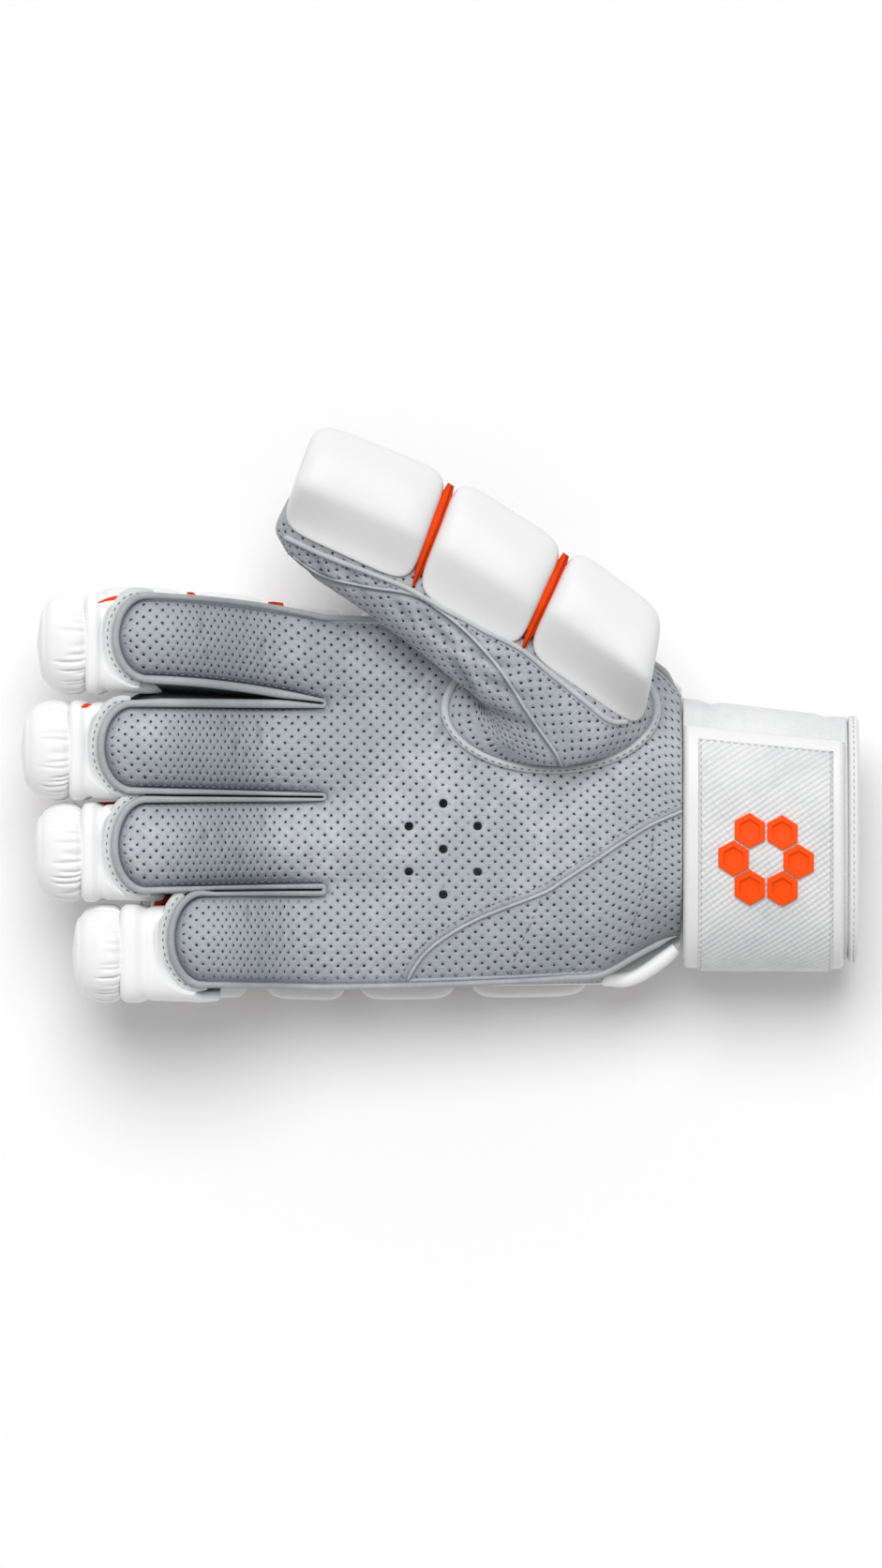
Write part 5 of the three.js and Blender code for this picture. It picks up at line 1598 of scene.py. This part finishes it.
@dataclass
class Thumb:
    """The thumb's sleeve with its welt and seams, its three blocks and two gussets."""

    opening: tuple[float, float, float, float] = (35.5, 2.1, 32.9, 18.4)
    length: float = 108.0
    radius: float = 15.2
    rise: float = 59.0
    turn: float = 144.4
    wall: float = 1.5
    welt: float = 1.3
    pieces: Nodes = field(default_factory=dict)

    FOLDS = (
        ((446, 652), (486, 690), 1.7, 0.8), ((458, 650), (512, 690), 1.5, 0.75), ((478, 700), (508, 742), 1.6, 0.7),
        ((492, 690), (545, 712), 1.4, 0.6), ((512, 720), (560, 745), 1.5, 0.6), ((505, 750), (572, 778), 1.5, 0.6),
        ((420, 640), (446, 672), 1.3, 0.5), ((368, 604), (392, 640), 1.3, 0.45), ((330, 588), (352, 622), 1.2, 0.4),
    )

    @property
    def ahead(self) -> Array:
        """The way in which the thumb points."""
        turn = math.radians(self.turn)
        return np.array([math.cos(turn), math.sin(turn), 0.0])

    @property
    def aside(self) -> Array:
        """The way from the palm to the thumb's outer side."""
        return np.array([self.ahead[1], -self.ahead[0], 0.0])

    def rings(self, turns: int) -> Array:
        """The sleeve's sections from its oval foot to the thumb's end.

        Args:
            turns: points round each section.

        Returns:
            Sections by points by 3.
        """
        x, y, half_x, half_y = self.opening
        angle = 2 * np.pi * np.arange(turns) / turns
        way = np.cos(angle)[:, None] * self.aside - np.sin(angle)[:, None] * self.ahead
        reach = 1 / np.hypot(way[:, 0] / half_x, way[:, 1] / half_y)
        foot = np.array([x, y, 0]) + way * (reach - 0.2)[:, None]
        height = HAND.palm_height(foot[:, 0], foot[:, 1])
        made = [foot + np.stack([0 * height, 0 * height, height + dz], -1) for dz in (-2.5, 1.6)]
        table = (
            (0.045, 0.02, 18, 1.35, 1.68, 0.99),
            (0.12, 0.04, 45, 1.13, 1.25, 1.01),
            (0.24, 0.045, 72, 1.03, 1.03, 1.035),
            (0.4, 0.05, 90, 1, 1, 1.02),
            (0.62, 0.053, 90, 1, 1, 1),
            (0.84, 0.05, 90, 0.98, 0.98, 1),
            (0.93, 0.05, 90, 0.84, 0.84, 1),
            (0.98, 0.05, 90, 0.56, 0.56, 1),
            (0.995, 0.05, 90, 0, 0, 1),
        )
        for forward, outward, lean, wide, high, rise in table:
            middle = np.array([x, y, self.rise * rise]) + self.length * (forward * self.ahead + outward * self.aside)
            tilt = math.radians(lean)
            up = np.array([0, 0, math.sin(tilt)]) - self.ahead * math.cos(tilt)
            made.append(
                middle
                + self.radius * wide * np.cos(angle)[:, None] * self.aside
                + self.radius * high * np.sin(angle)[:, None] * up
            )
        return np.array(made)

    def seam_line(self) -> Array:
        """The sleeve's long seam in the plane."""
        marks = on_photo((312, 596), (345, 617), (395, 629), (440, 637), (470, 655), (500, 680), (533, 718), (560, 760), (590, 803), (597, 817))
        return curve_through(marks, 1.0)

    def build_sleeve(self) -> None:
        """Builds the perforated sleeve."""
        controls = self.rings(128)
        places = np.array([0, 0.35, 1, 1.8, 2.8, 4.2, 6.2, 8.2, 9.2, 9.8, 10.2])
        fine = np.concatenate([np.linspace(0, 8.2, 74), np.linspace(8.3, 10.2, 16)])
        points = eased(places, controls, fine)
        flat = points.reshape(-1, 3)
        upper = flat[:, 2] > 52
        seam = side_of(self.seam_line(), flat[:, :2])
        away = np.abs(seam)
        normal = lattice_normals(points).reshape(-1, 3)
        lift = -0.9 * np.exp(-((away / 0.8) ** 2)) + 0.5 * np.exp(-(((seam - 1.7) / 1.0) ** 2))
        lift = np.where(upper & (normal[:, 2] > 0.1), lift, 0)
        rng = np.random.default_rng(5)
        for _ in range(30):
            spot = on_photo((rng.uniform(480, 600), rng.uniform(690, 810)))[0]
            end = spot + rng.uniform(-6, 6, 2)
            lift -= Crease(tuple(spot), tuple(end), rng.uniform(0.8, 1.3), rng.uniform(0.15, 0.4)).sink(flat[:, :2]) * upper
        for _ in range(16):
            spot = on_photo((rng.uniform(320, 440), rng.uniform(590, 650)))[0]
            end = spot + rng.uniform(-4, 4, 2)
            lift -= Crease(tuple(spot), tuple(end), 0.9, rng.uniform(0.15, 0.35)).sink(flat[:, :2]) * upper
        folds = np.zeros(len(flat))
        for start, end, width, depth in self.FOLDS:
            fold = Crease(tuple(on_photo(start)[0]), tuple(on_photo(end)[0]), width, depth)
            folds += fold.sink(flat[:, :2]) * upper
        lift -= folds
        flat += normal * lift[:, None]
        # Painted shade in the folds, along the seam's groove and on sides turned down from the light; the whole sleeve
        # is a little darker too.
        soil_and_shade = 0.25 + 0.75 * folds + 0.9 * np.exp(-((away / 0.8) ** 2)) * upper + 0.3 * smooth(0.2, -0.6, normal[:, 2])
        holes = np.where(upper, smooth(1.0, 1.6, away), 1.0) * (np.repeat(fine, 128) > 0.4) * (np.repeat(fine, 128) < 9.6)
        ring = np.concatenate([points, points[:, :1]], 1)
        arc = np.cumsum(np.linalg.norm(np.diff(ring, axis=1), axis=2), axis=1)
        arc = np.concatenate([np.zeros((len(arc), 1)), arc], 1)
        arc -= arc[:, 32:33]
        down = np.cumsum(np.linalg.norm(np.diff(ring, axis=0), axis=2), axis=0)
        along = np.concatenate([np.zeros((1, ring.shape[1])), down])
        along = along[-1:] - along
        draft = Draft()
        draft.lattice(
            flat.reshape(points.shape),
            np.stack([along, arc], -1),
            wrap=True,
            soil_and_shade=np.clip(soil_and_shade, 0, 1).reshape(points.shape[:2]),
            holes=holes.reshape(points.shape[:2]),
        )
        piece = draft.make("thumb_sleeve_leather", PALM_FINISH, closed=True, wall=self.wall)
        self.pieces["sleeve"] = settle(piece, ["thumb_sleeve"])

    def build_welt(self, palm: Palm) -> None:
        """Builds the raised lip round the opening.

        Args:
            palm: the palm that it is sewn to; not used.
        """
        x, y, half_x, half_y = self.opening
        angle = 2 * np.pi * np.arange(160) / 160
        stand = 1.1
        px = x + (half_x + stand) * np.cos(angle)
        py = y + (half_y + stand) * np.sin(angle)
        path = np.stack([px, py, HAND.palm_height(px, py) + 0.75], -1)
        draft = Draft()
        draft.tube(path, self.welt, 12, closed=True, flat=0.85)
        piece = draft.make("thumb_welt_leather", TRIM_FINISH, closed=True)
        self.pieces["welt"] = settle(piece, ["thumb_welt"])

    def corner_marks(self) -> tuple[Array, ...]:
        """The corners of the three blocks in the plane: outer tip, outer root, inner root, inner tip."""
        return (
            on_photo((338, 449), (481, 506), (437, 625), (299, 562)),
            on_photo((489, 509), (604, 582), (552, 694), (443, 631)),
            on_photo((612, 583), (708, 654), (684, 780), (560, 696)),
        )

    def seat(self, inner: Array) -> Array:
        """Heights of the sleeve and the palm below a block's inner edge, evened out.

        Args:
            inner: the edge's places in the plane.

        Returns:
            One height for each place.
        """
        found = []
        for place in inner:
            landed, _ = self.drape.lay(place[None])
            found.append(landed[0, 2] if len(landed) else np.nan)
        z = np.array(found)
        at = np.linspace(0, 1, len(z))
        good = z > 45
        return np.clip(np.polyval(np.polyfit(at[good], z[good], 3), at), 50, 80)

    def build_blocks(self) -> None:
        """Builds the three padded blocks, each a crowned form with its crest near the palm's side."""
        for k, corners in enumerate(self.corner_marks()):
            form = rounded_box(30, 6.0)
            a, b, c = form.points[:, 0], form.points[:, 1], form.points[:, 2]
            t = ((a + 1) / 2)[:, None]
            v = ((b + 1) / 2)[:, None]
            flat = lerp(lerp(corners[0], corners[1], t), lerp(corners[3], corners[2], t), v)
            line = np.linspace(0.08, 0.92, 24)
            seat = self.seat(lerp(corners[3], corners[2], line[:, None]) + 1.5 * self.aside[:2])
            seat = np.interp(t[:, 0], line, seat)
            crest = 0.16
            outer_drop = 6.5 * np.clip((crest - b) / (1 + crest), 0, 1) ** 2.0
            inner_share = np.clip((b - crest) / (1 - crest), 0, 1)
            top = lerp(84.2 - outer_drop, np.minimum(seat + 1.8, 80), smooth(-0.25, 1.0, inner_share) * 1.19 - 0.19)
            foot = lerp(54.0, seat - 2.4, smooth(0.3, 1.0, v[:, 0]))
            z = lerp(foot, top, (c + 1) / 2)
            z -= 0.35 * np.cos(6.0 * t[:, 0] + 2.1 * k) * np.cos(5.0 * v[:, 0] + k)
            points = np.stack([flat[:, 0], flat[:, 1], z], -1)
            draft = Draft()
            zero = np.zeros(len(points))
            draft.points, draft.maps = [points], [form.points[:, :2] * 18]
            draft.marks = [np.stack([zero, zero], -1)]
            draft.faces = [np.array(form.faces)]
            draft.map_faces = [np.array(form.faces)]
            piece = draft.make(f"thumb_block_{k + 1}", PAD_FINISH, closed=True)
            self.pieces[f"block_{k + 1}"] = settle(piece, [f"thumb_pad_{k + 1}"])

    def build_gussets(self) -> None:
        """Builds the folded orange gussets between the blocks."""
        marks = self.corner_marks()
        for k in (1, 2):
            outer = (marks[k - 1][1] + marks[k][0]) / 2
            inner = (marks[k - 1][2] + marks[k][3]) / 2
            v = np.linspace(0.085, 1.0, 48)
            seat = self.seat(lerp(outer, inner, np.linspace(0.9, 0.98, 6)[:, None]))[-1]
            ahead = marks[k][1] - marks[k][0]
            ahead /= np.linalg.norm(ahead)
            crest = 0.61
            falling = np.clip((v - crest) / (1 - crest), 0, 1) ** 1.1
            top = lerp(81.0 - 9.0 * np.clip((crest - v) / crest, 0, 1) ** 2.2, seat + 1.2, falling)
            wide = 0.35 + 2.1 * np.sin(np.pi * np.clip(v, 0, 1) ** 0.85)
            share = np.linspace(-1, 1, 13)
            fold = -1.3 * np.exp(-(((share - 0.35) / 0.14) ** 2)) - 2.2 * np.abs(share) ** 2
            base = lerp(outer, inner, v[:, None])
            points = np.zeros((len(v), len(share), 3))
            points[..., :2] = base[:, None] + wide[:, None, None] * share[None, :, None] * ahead
            points[..., 2] = top[:, None] + fold[None]
            lower = points.copy()
            lower[..., 2] -= 9
            draft = Draft()
            ring = np.concatenate([points, lower[:, ::-1]], 1)
            ends = [np.broadcast_to(part.mean(1, keepdims=True), part.shape) for part in (ring[:1], ring[-1:])]
            # Painted shade in the cloth's fold and on its hidden lower side.
            dark = np.concatenate([np.exp(-(((share - 0.45) / 0.2) ** 2)) * 0.8, np.full(len(share), 0.4)])
            soil_and_shade = np.broadcast_to(dark, (len(v) + 2, len(dark)))
            draft.lattice(np.concatenate([ends[0], ring, ends[1]]), wrap=True, soil_and_shade=soil_and_shade)
            piece = draft.make(f"thumb_gusset_cloth_{k}", GUSSET_FINISH, closed=True)
            self.pieces[f"gusset_{k}"] = settle(piece, [f"thumb_gusset_{k}"])

    def dress(self, stitch: Pattern, palm: Palm) -> None:
        """Adds the seam bead, the piping below the blocks and the stitches.

        Args:
            stitch: one stitch of thread.
            palm: the palm beside the sleeve; not used.
        """
        drape = self.drape
        trim = Draft()
        path, _ = drape.lay(offset_path(self.seam_line(), 0.9), 0.15)
        trim.tube(smoothed(path, 4), 0.55, 8, flat=0.8)
        lower = curve_through(
            on_photo(
                (306, 571), (345, 590), (395, 610), (440, 629), (480, 652), (520, 674), (556, 692), (590, 720),
                (625, 748), (650, 768), (668, 768),
            ),
            1.0,
        )  # fmt: skip
        path, normals = drape.lay(offset_path(lower, -0.4), 0.5)
        trim.tube(smoothed(path, 6), 0.85, 8, flat=0.9)
        piece = trim.make("thumb_trim", TRIM_FINISH, closed=True)
        self.pieces["trim"] = settle(piece, [])
        thread = Draft()
        below, below_up = drape.lay(offset_path(lower, -2.0), 0.08)
        stitch_line(thread, stitch, below, below_up, 2.1)
        x, y, half_x, half_y = self.opening
        angle = np.linspace(-3.0, 0.9, 160)
        px = x + (half_x + 1.5) * np.cos(angle)
        py = y + (half_y + 1.5) * np.sin(angle)
        path = np.stack([px, py, HAND.palm_height(px, py) + 0.75 + self.welt * 0.83], -1)
        stitch_line(thread, stitch, path, np.broadcast_to(np.array([0, 0, 1.0]), path.shape), 2.4)
        piece = thread.make("thumb_stitches", THREAD_FINISH, closed=True)
        self.pieces["stitches"] = settle(piece, [])

    def build(self, palm: Palm) -> None:
        """Builds the thumb's pieces in order."""
        self.build_sleeve()
        self.build_welt(palm)
        self.drape = Drape(self.pieces["sleeve"], *[palm.pieces[name] for name in ("palm_leather", "heel_leather")])
        self.build_blocks()
        self.build_gussets()


def lattice_normals(points: Array) -> Array:
    """Outward normals of a tube's lattice that wraps round."""
    down = np.gradient(points, axis=0)
    across = np.roll(points, -1, 1) - np.roll(points, 1, 1)
    normal = np.cross(down, across)
    normal /= np.linalg.norm(normal, axis=2)[..., None] + 1e-9
    middle = points.mean(1, keepdims=True)
    if np.sum(normal * (points - middle)) < 0:
        normal = -normal
    return normal


@dataclass
class Cuff:
    """The elastic cuff with its hem, and the strap with its patch and badge."""

    x: float = WEB_X + PALM_LENGTH + 0.35
    y: float = -36.2
    z: float = 31.6
    length: float = 52.6
    half_width: float = 42.0
    half_depth: float = 23.0
    taper: float = 0.93
    turn: float = -3.5
    wall: float = 3.0
    hem: float = 3.4
    strap: float = 2.4
    strap_length: float = 51.2
    patch: float = 0.9
    patch_length: float = 43.2
    badge: float = 1.1
    badge_cell: float = 6.1
    badge_gap: float = 0.5
    pieces: Nodes = field(default_factory=dict)

    def point(self, along: Array, angle: Array, offset: Array) -> Array:
        """Places round the cuff.

        Args:
            along: distances from the cuff's seam.
            angle: angles in radians, from the thumb's side over the palm.
            offset: how far outside the elastic.

        Returns:
            The places.
        """
        along, angle, offset = np.broadcast_arrays(
            np.asarray(along, float), np.asarray(angle, float), np.asarray(offset, float)
        )
        size = lerp(1, self.taper, along / self.length)
        cos = np.sign(np.cos(angle)) * np.abs(np.cos(angle)) ** 0.8
        sin = np.sign(np.sin(angle)) * np.abs(np.sin(angle)) ** 0.8
        y = self.y + along * math.tan(math.radians(self.turn)) + (self.half_width * size + offset) * cos
        return np.stack([self.x + along, y, self.z + (self.half_depth * size + offset) * sin], -1)

    def angle_at(self, along: float, offset: float, arc: Array, start: float) -> Array:
        """Angles that lie given arc lengths round the cuff from a start.

        Args:
            along: the distance from the cuff's seam.
            offset: how far outside the elastic.
            arc: the arc lengths, positive away from the thumb.
            start: the angle of length 0, in degrees.

        Returns:
            The angles in radians.
        """
        turn = np.radians(np.linspace(20, 240, 900))
        path = self.point(along, turn, offset)
        length = np.concatenate([[0], np.cumsum(np.linalg.norm(np.diff(path, axis=0), axis=1))])
        length -= np.interp(math.radians(start), turn, length)
        return np.interp(arc, length, turn)

    def band(self, stations: Array, offsets: Array, inner: float) -> Array:
        """A closed band's lattice: outside along the stations, then back inside."""
        angle = 2 * np.pi * np.arange(200) / 200
        outer = self.point(stations[:, None], angle[None], offsets[:, None])
        inside = self.point(stations[::-1, None], angle[None], np.full((len(stations), 1), inner))
        return np.concatenate([outer, inside, outer[:1]])

    def build_cuff(self) -> None:
        """Builds the elastic cuff and its turned hem."""
        stations = np.linspace(0, self.length, 60)
        offsets = -0.9 * np.exp(-(((stations - 9) / 2.2) ** 2)) - 0.6 * np.exp(-(((stations - 46) / 2.5) ** 2)) - 0.1
        draft = Draft()
        draft.lattice(self.band(stations, offsets, -self.wall), wrap=True)
        self.pieces["cuff"] = settle(draft.make("cuff_elastic", CUFF_FINISH, closed=True), ["cuff"])
        share = np.linspace(0, 1, 14)
        stations = self.length + 0.35 + self.hem * share
        offsets = 0.8 - 1.6 * np.abs(2 * share - 1) ** 4 - 0.5 * np.exp(-(((share - 0.5) / 0.12) ** 2))
        hem = Draft()
        hem.lattice(self.band(stations, offsets, -self.wall), wrap=True)
        self.pieces["hem"] = settle(hem.make("cuff_hem_leather", STRAP_FINISH, closed=True), ["cuff_hem"])

    def plate(self, name: str, span: tuple[float, float], turn: tuple[float, float], level: tuple[float, float], finish: Finish) -> bpy.types.Object:
        """A plate that lies round the cuff, with soft edges.

        Args:
            name: the piece's name.
            span: where it starts and ends along the cuff.
            turn: its first and last angle, in degrees.
            level: its inner and outer offset.
            finish: its material.

        Returns:
            The plate.
        """
        angle = np.radians(np.linspace(turn[0], turn[1], 120))
        share = np.linspace(0, 1, 60)
        arc = np.linspace(0, 1, 120)
        edge = np.minimum(share * (span[1] - span[0]), (1 - share) * (span[1] - span[0]))
        thick = level[1] - level[0]
        end = np.minimum(arc, 1 - arc) * (turn[1] - turn[0]) * 0.75
        away = np.minimum(edge[:, None], end[None])
        soft = np.clip(1 - np.clip(away / 1.1, 0, 1), 0, 1) ** 2 * 0.55
        outer_level = level[1] - soft * thick
        outer = self.point(lerp(span[0], span[1], share)[:, None], angle[None], outer_level)
        inner = self.point(lerp(span[0], span[1], share)[:, None], angle[None], level[0])
        draft = Draft()
        flat = lattice_map(outer, False)
        draft.lattice(outer, flat)
        draft.lattice(inner, flat)
        for a, b in ((outer[0], inner[0]), (outer[-1], inner[-1]), (outer[:, 0], inner[:, 0]), (outer[:, -1], inner[:, -1])):
            draft.lattice(np.stack([a, b]))
        return draft.make(name, finish, closed=True)

    def build_strap(self) -> None:
        """Builds the strap and the ribbed patch on it."""
        start = 0.35
        top = 0.35 + self.strap
        piece = self.plate("strap_leather", (start, start + self.strap_length), (45, 207), (0.35, top), STRAP_FINISH)
        self.pieces["strap"] = settle(piece, ["strap"])
        self.patch_start = start + (self.strap_length - self.patch_length) * 0.55
        span = (self.patch_start, self.patch_start + self.patch_length)
        piece = self.plate("strap_patch_cloth", span, (54, 200), (top - 0.1, top + self.patch), PATCH_FINISH)
        self.pieces["patch"] = settle(piece, ["strap_patch"])

    def build_badge(self) -> None:
        """Models one six-sided cell by hand and lays six copies of it on the patch."""
        bpy.ops.object.select_all(action="DESELECT")
        bpy.ops.mesh.primitive_cylinder_add(vertices=6, radius=self.badge_cell - self.badge_gap, depth=self.badge)
        cell = bpy.context.object
        bpy.ops.object.mode_set(mode="EDIT")
        bpy.ops.mesh.select_all(action="DESELECT")
        work = bmesh.from_edit_mesh(cell.data)
        for face in work.faces:
            face.select = face.normal.z > 0.9
        bmesh.update_edit_mesh(cell.data)
        bpy.ops.mesh.inset(thickness=1.7)
        bpy.ops.mesh.inset(thickness=0.15)
        bpy.ops.transform.translate(value=(0, 0, -0.8))
        bpy.ops.mesh.select_all(action="SELECT")
        bpy.ops.mesh.bevel(offset=0.12, segments=2, affect="EDGES")
        bpy.ops.mesh.subdivide(number_cuts=2)
        bpy.ops.object.mode_set(mode="OBJECT")
        form = np.array([v.co[:] for v in cell.data.vertices])
        faces = [tuple(p.vertices) for p in cell.data.polygons]
        bpy.data.objects.remove(cell)
        middle = self.patch_start + self.patch_length / 2
        level = 0.35 + self.strap + self.patch + 0.35 + self.badge / 2 - 0.3
        spacing = self.badge_cell * math.sqrt(3) * 0.985
        points: list[list[float]] = []
        rows: list[tuple[int, ...]] = []
        for k in range(6):
            at = math.radians(60 * k)
            x = form[:, 0] + spacing * math.cos(at)
            y = form[:, 1] + spacing * math.sin(at)
            placed = self.point(middle + x, self.angle_at(middle, level, y, 97), level + form[:, 2])
            rows.extend([tuple(i + len(points) for i in face) for face in faces])
            points.extend((placed * 0.001).tolist())
        mesh = bpy.data.meshes.new("strap_badge_cells")
        mesh.from_pydata(points, [], rows)
        mesh.uv_layers.new(name="map")
        piece = bpy.data.objects.new("strap_badge_cells", mesh)
        bpy.context.scene.collection.objects.link(piece)
        mesh.materials.append(BADGE_FINISH.material())
        Draft.tidy(mesh, True, False)
        mesh.shade_smooth()
        select_only(piece)
        bpy.ops.object.shade_smooth_by_angle(angle=math.radians(40))
        self.pieces["badge"] = settle(piece, ["strap_badge"])

    def dress(self, stitch: Pattern) -> None:
        """Adds the stitches round the patch and on the hem.

        Args:
            stitch: one stitch of thread.
        """
        thread = Draft()
        top = 0.35 + self.strap + self.patch + 0.05
        left = self.patch_start + 0.9
        right = self.patch_start + self.patch_length - 0.9
        low, high = math.radians(55.5), math.radians(198)
        sweep = np.linspace(low, high, 160)
        runs = [
            (np.full(160, left), sweep, top),
            (np.full(160, right), sweep, top),
            (np.linspace(left, right, 60), np.full(60, low), top),
            (np.full(240, self.length + 0.35 + self.hem / 2), np.linspace(0.1, math.pi * 2, 240), 0.4),
        ]
        for along, angle, offset in runs:
            path = self.point(along, angle, np.full(len(along), offset))
            out = self.point(along, angle, np.full(len(along), offset + 1)) - path
            stitch_line(thread, stitch, path, out, 2.2)
        piece = thread.make("strap_stitches", PALE_THREAD_FINISH, closed=True)
        self.pieces["stitches"] = settle(piece, [])

    def build(self) -> None:
        """Builds the cuff's pieces in order."""
        self.build_cuff()
        self.build_strap()
        self.build_badge()


@dataclass
class VentRoll:
    """The white roll beside the vent at the heel."""

    radius: float = 2.4
    pieces: Nodes = field(default_factory=dict)

    def build(self) -> None:
        """Builds the roll along the back leather's edge."""
        at = np.linspace(0.78, 0.985, 60)
        path = LITTLE.back(-at * PALM_LENGTH, np.full(60, -1.0)) + (0, 1.2, 4.55)
        size = self.radius * lerp(0.75, 1.0, smooth(0.78, 0.84, at)) * lerp(1.0, 0.85, smooth(0.95, 0.985, at))
        draft = Draft()
        draft.tube(path, size, 20)
        piece = draft.make("vent_roll_leather", WHITE_FINISH, closed=True)
        self.pieces["roll"] = settle(piece, ["vent_roll"])


@dataclass
class Studio:
    """The camera above the glove, a pale floor and soft light."""

    distance: float = 6.0
    focus_height: float = 0.05
    view_height: float = 0.5016
    middle: tuple[float, float] = (0.0003, -0.0219)
    floor_colour: tuple[float, float, float] = (0.96, 0.96, 0.96)
    key: float = 2.1
    key_turn: tuple[float, float, float] = (math.radians(-27), math.radians(-3), 0)
    key_spread: float = 38.0
    sky: float = 0.45

    def build_camera(self) -> None:
        """Places the camera, which looks straight down, and makes it the scene's."""
        bpy.ops.object.select_all(action="DESELECT")
        bpy.ops.object.camera_add(
            location=(self.middle[0], self.middle[1], self.focus_height + self.distance), rotation=(0, 0, 0)
        )
        camera = bpy.context.object
        camera.name = "camera"
        camera.data.sensor_width = 36
        camera.data.lens = 36 * self.distance / self.view_height
        camera.data.clip_end = 100
        bpy.context.scene.camera = camera
        bpy.context.scene.view_settings.view_transform = "Standard"

    def build_light(self) -> None:
        """Adds one broad soft light from the thumb's side and the pale surroundings."""
        bpy.ops.object.light_add(type="SUN", location=(-0.5, 1.5, 2.5), rotation=self.key_turn)
        light = bpy.context.object
        light.name = "key"
        light.data.energy = self.key
        light.data.angle = math.radians(self.key_spread)
        world = bpy.context.scene.world or bpy.data.worlds.new("studio")
        bpy.context.scene.world = world
        world.use_nodes = True
        backdrop = world.node_tree.nodes["Background"]
        backdrop.inputs[0].default_value = (1, 1, 1, 1)
        backdrop.inputs[1].default_value = self.sky

    def build_floor(self) -> None:
        """Adds the floor below the glove."""
        bpy.ops.mesh.primitive_plane_add(size=12, location=(0, 0, 0))
        floor = bpy.context.object
        floor.name = "floor"
        made = bpy.data.materials.new("pale_floor")
        made.use_nodes = True
        b = Board(made.node_tree)
        place = b.node("ShaderNodeTexCoord", {}).outputs["Object"]
        tone = b.noise(place, 3.0, 2.0)
        light = (*self.floor_colour, 1.0)
        soft = tuple(0.985 * c for c in self.floor_colour)
        colour = b.blend(tone, light, (*soft, 1.0))
        shader = b.node("ShaderNodeBsdfPrincipled", {"Base Color": colour, "Roughness": 0.9})
        shader.inputs["Specular IOR Level"].default_value = 0.1
        b.node("ShaderNodeOutputMaterial", {"Surface": shader.outputs[0]})
        floor.data.materials.append(made)


def main() -> None:
    """Builds the studio and the glove, one sub-assembly after another."""
    logging.basicConfig(level=logging.INFO, format="%(name)s %(message)s")
    studio = Studio()
    studio.build_camera()
    studio.build_light()
    studio.build_floor()
    stitch = Pattern.stitch(1.35, 0.42, 0.34)
    palm = Palm()
    palm.build()
    palm.dress(stitch)
    Back().build()
    turns = ((-95.0, 60.0), (-95.0, 78.0), (-85.0, 85.0), (-78.0, 98.0))
    for k, lane in enumerate(LANES):
        finger = Finger(lane, seed=11 + k, band_turn=turns[k])
        finger.build()
        finger.dress(stitch)
    thumb = Thumb()
    thumb.build(palm)
    thumb.dress(stitch, palm)
    cuff = Cuff()
    cuff.build()
    cuff.dress(stitch)
    VentRoll().build()


if __name__ == "__main__":
    main()
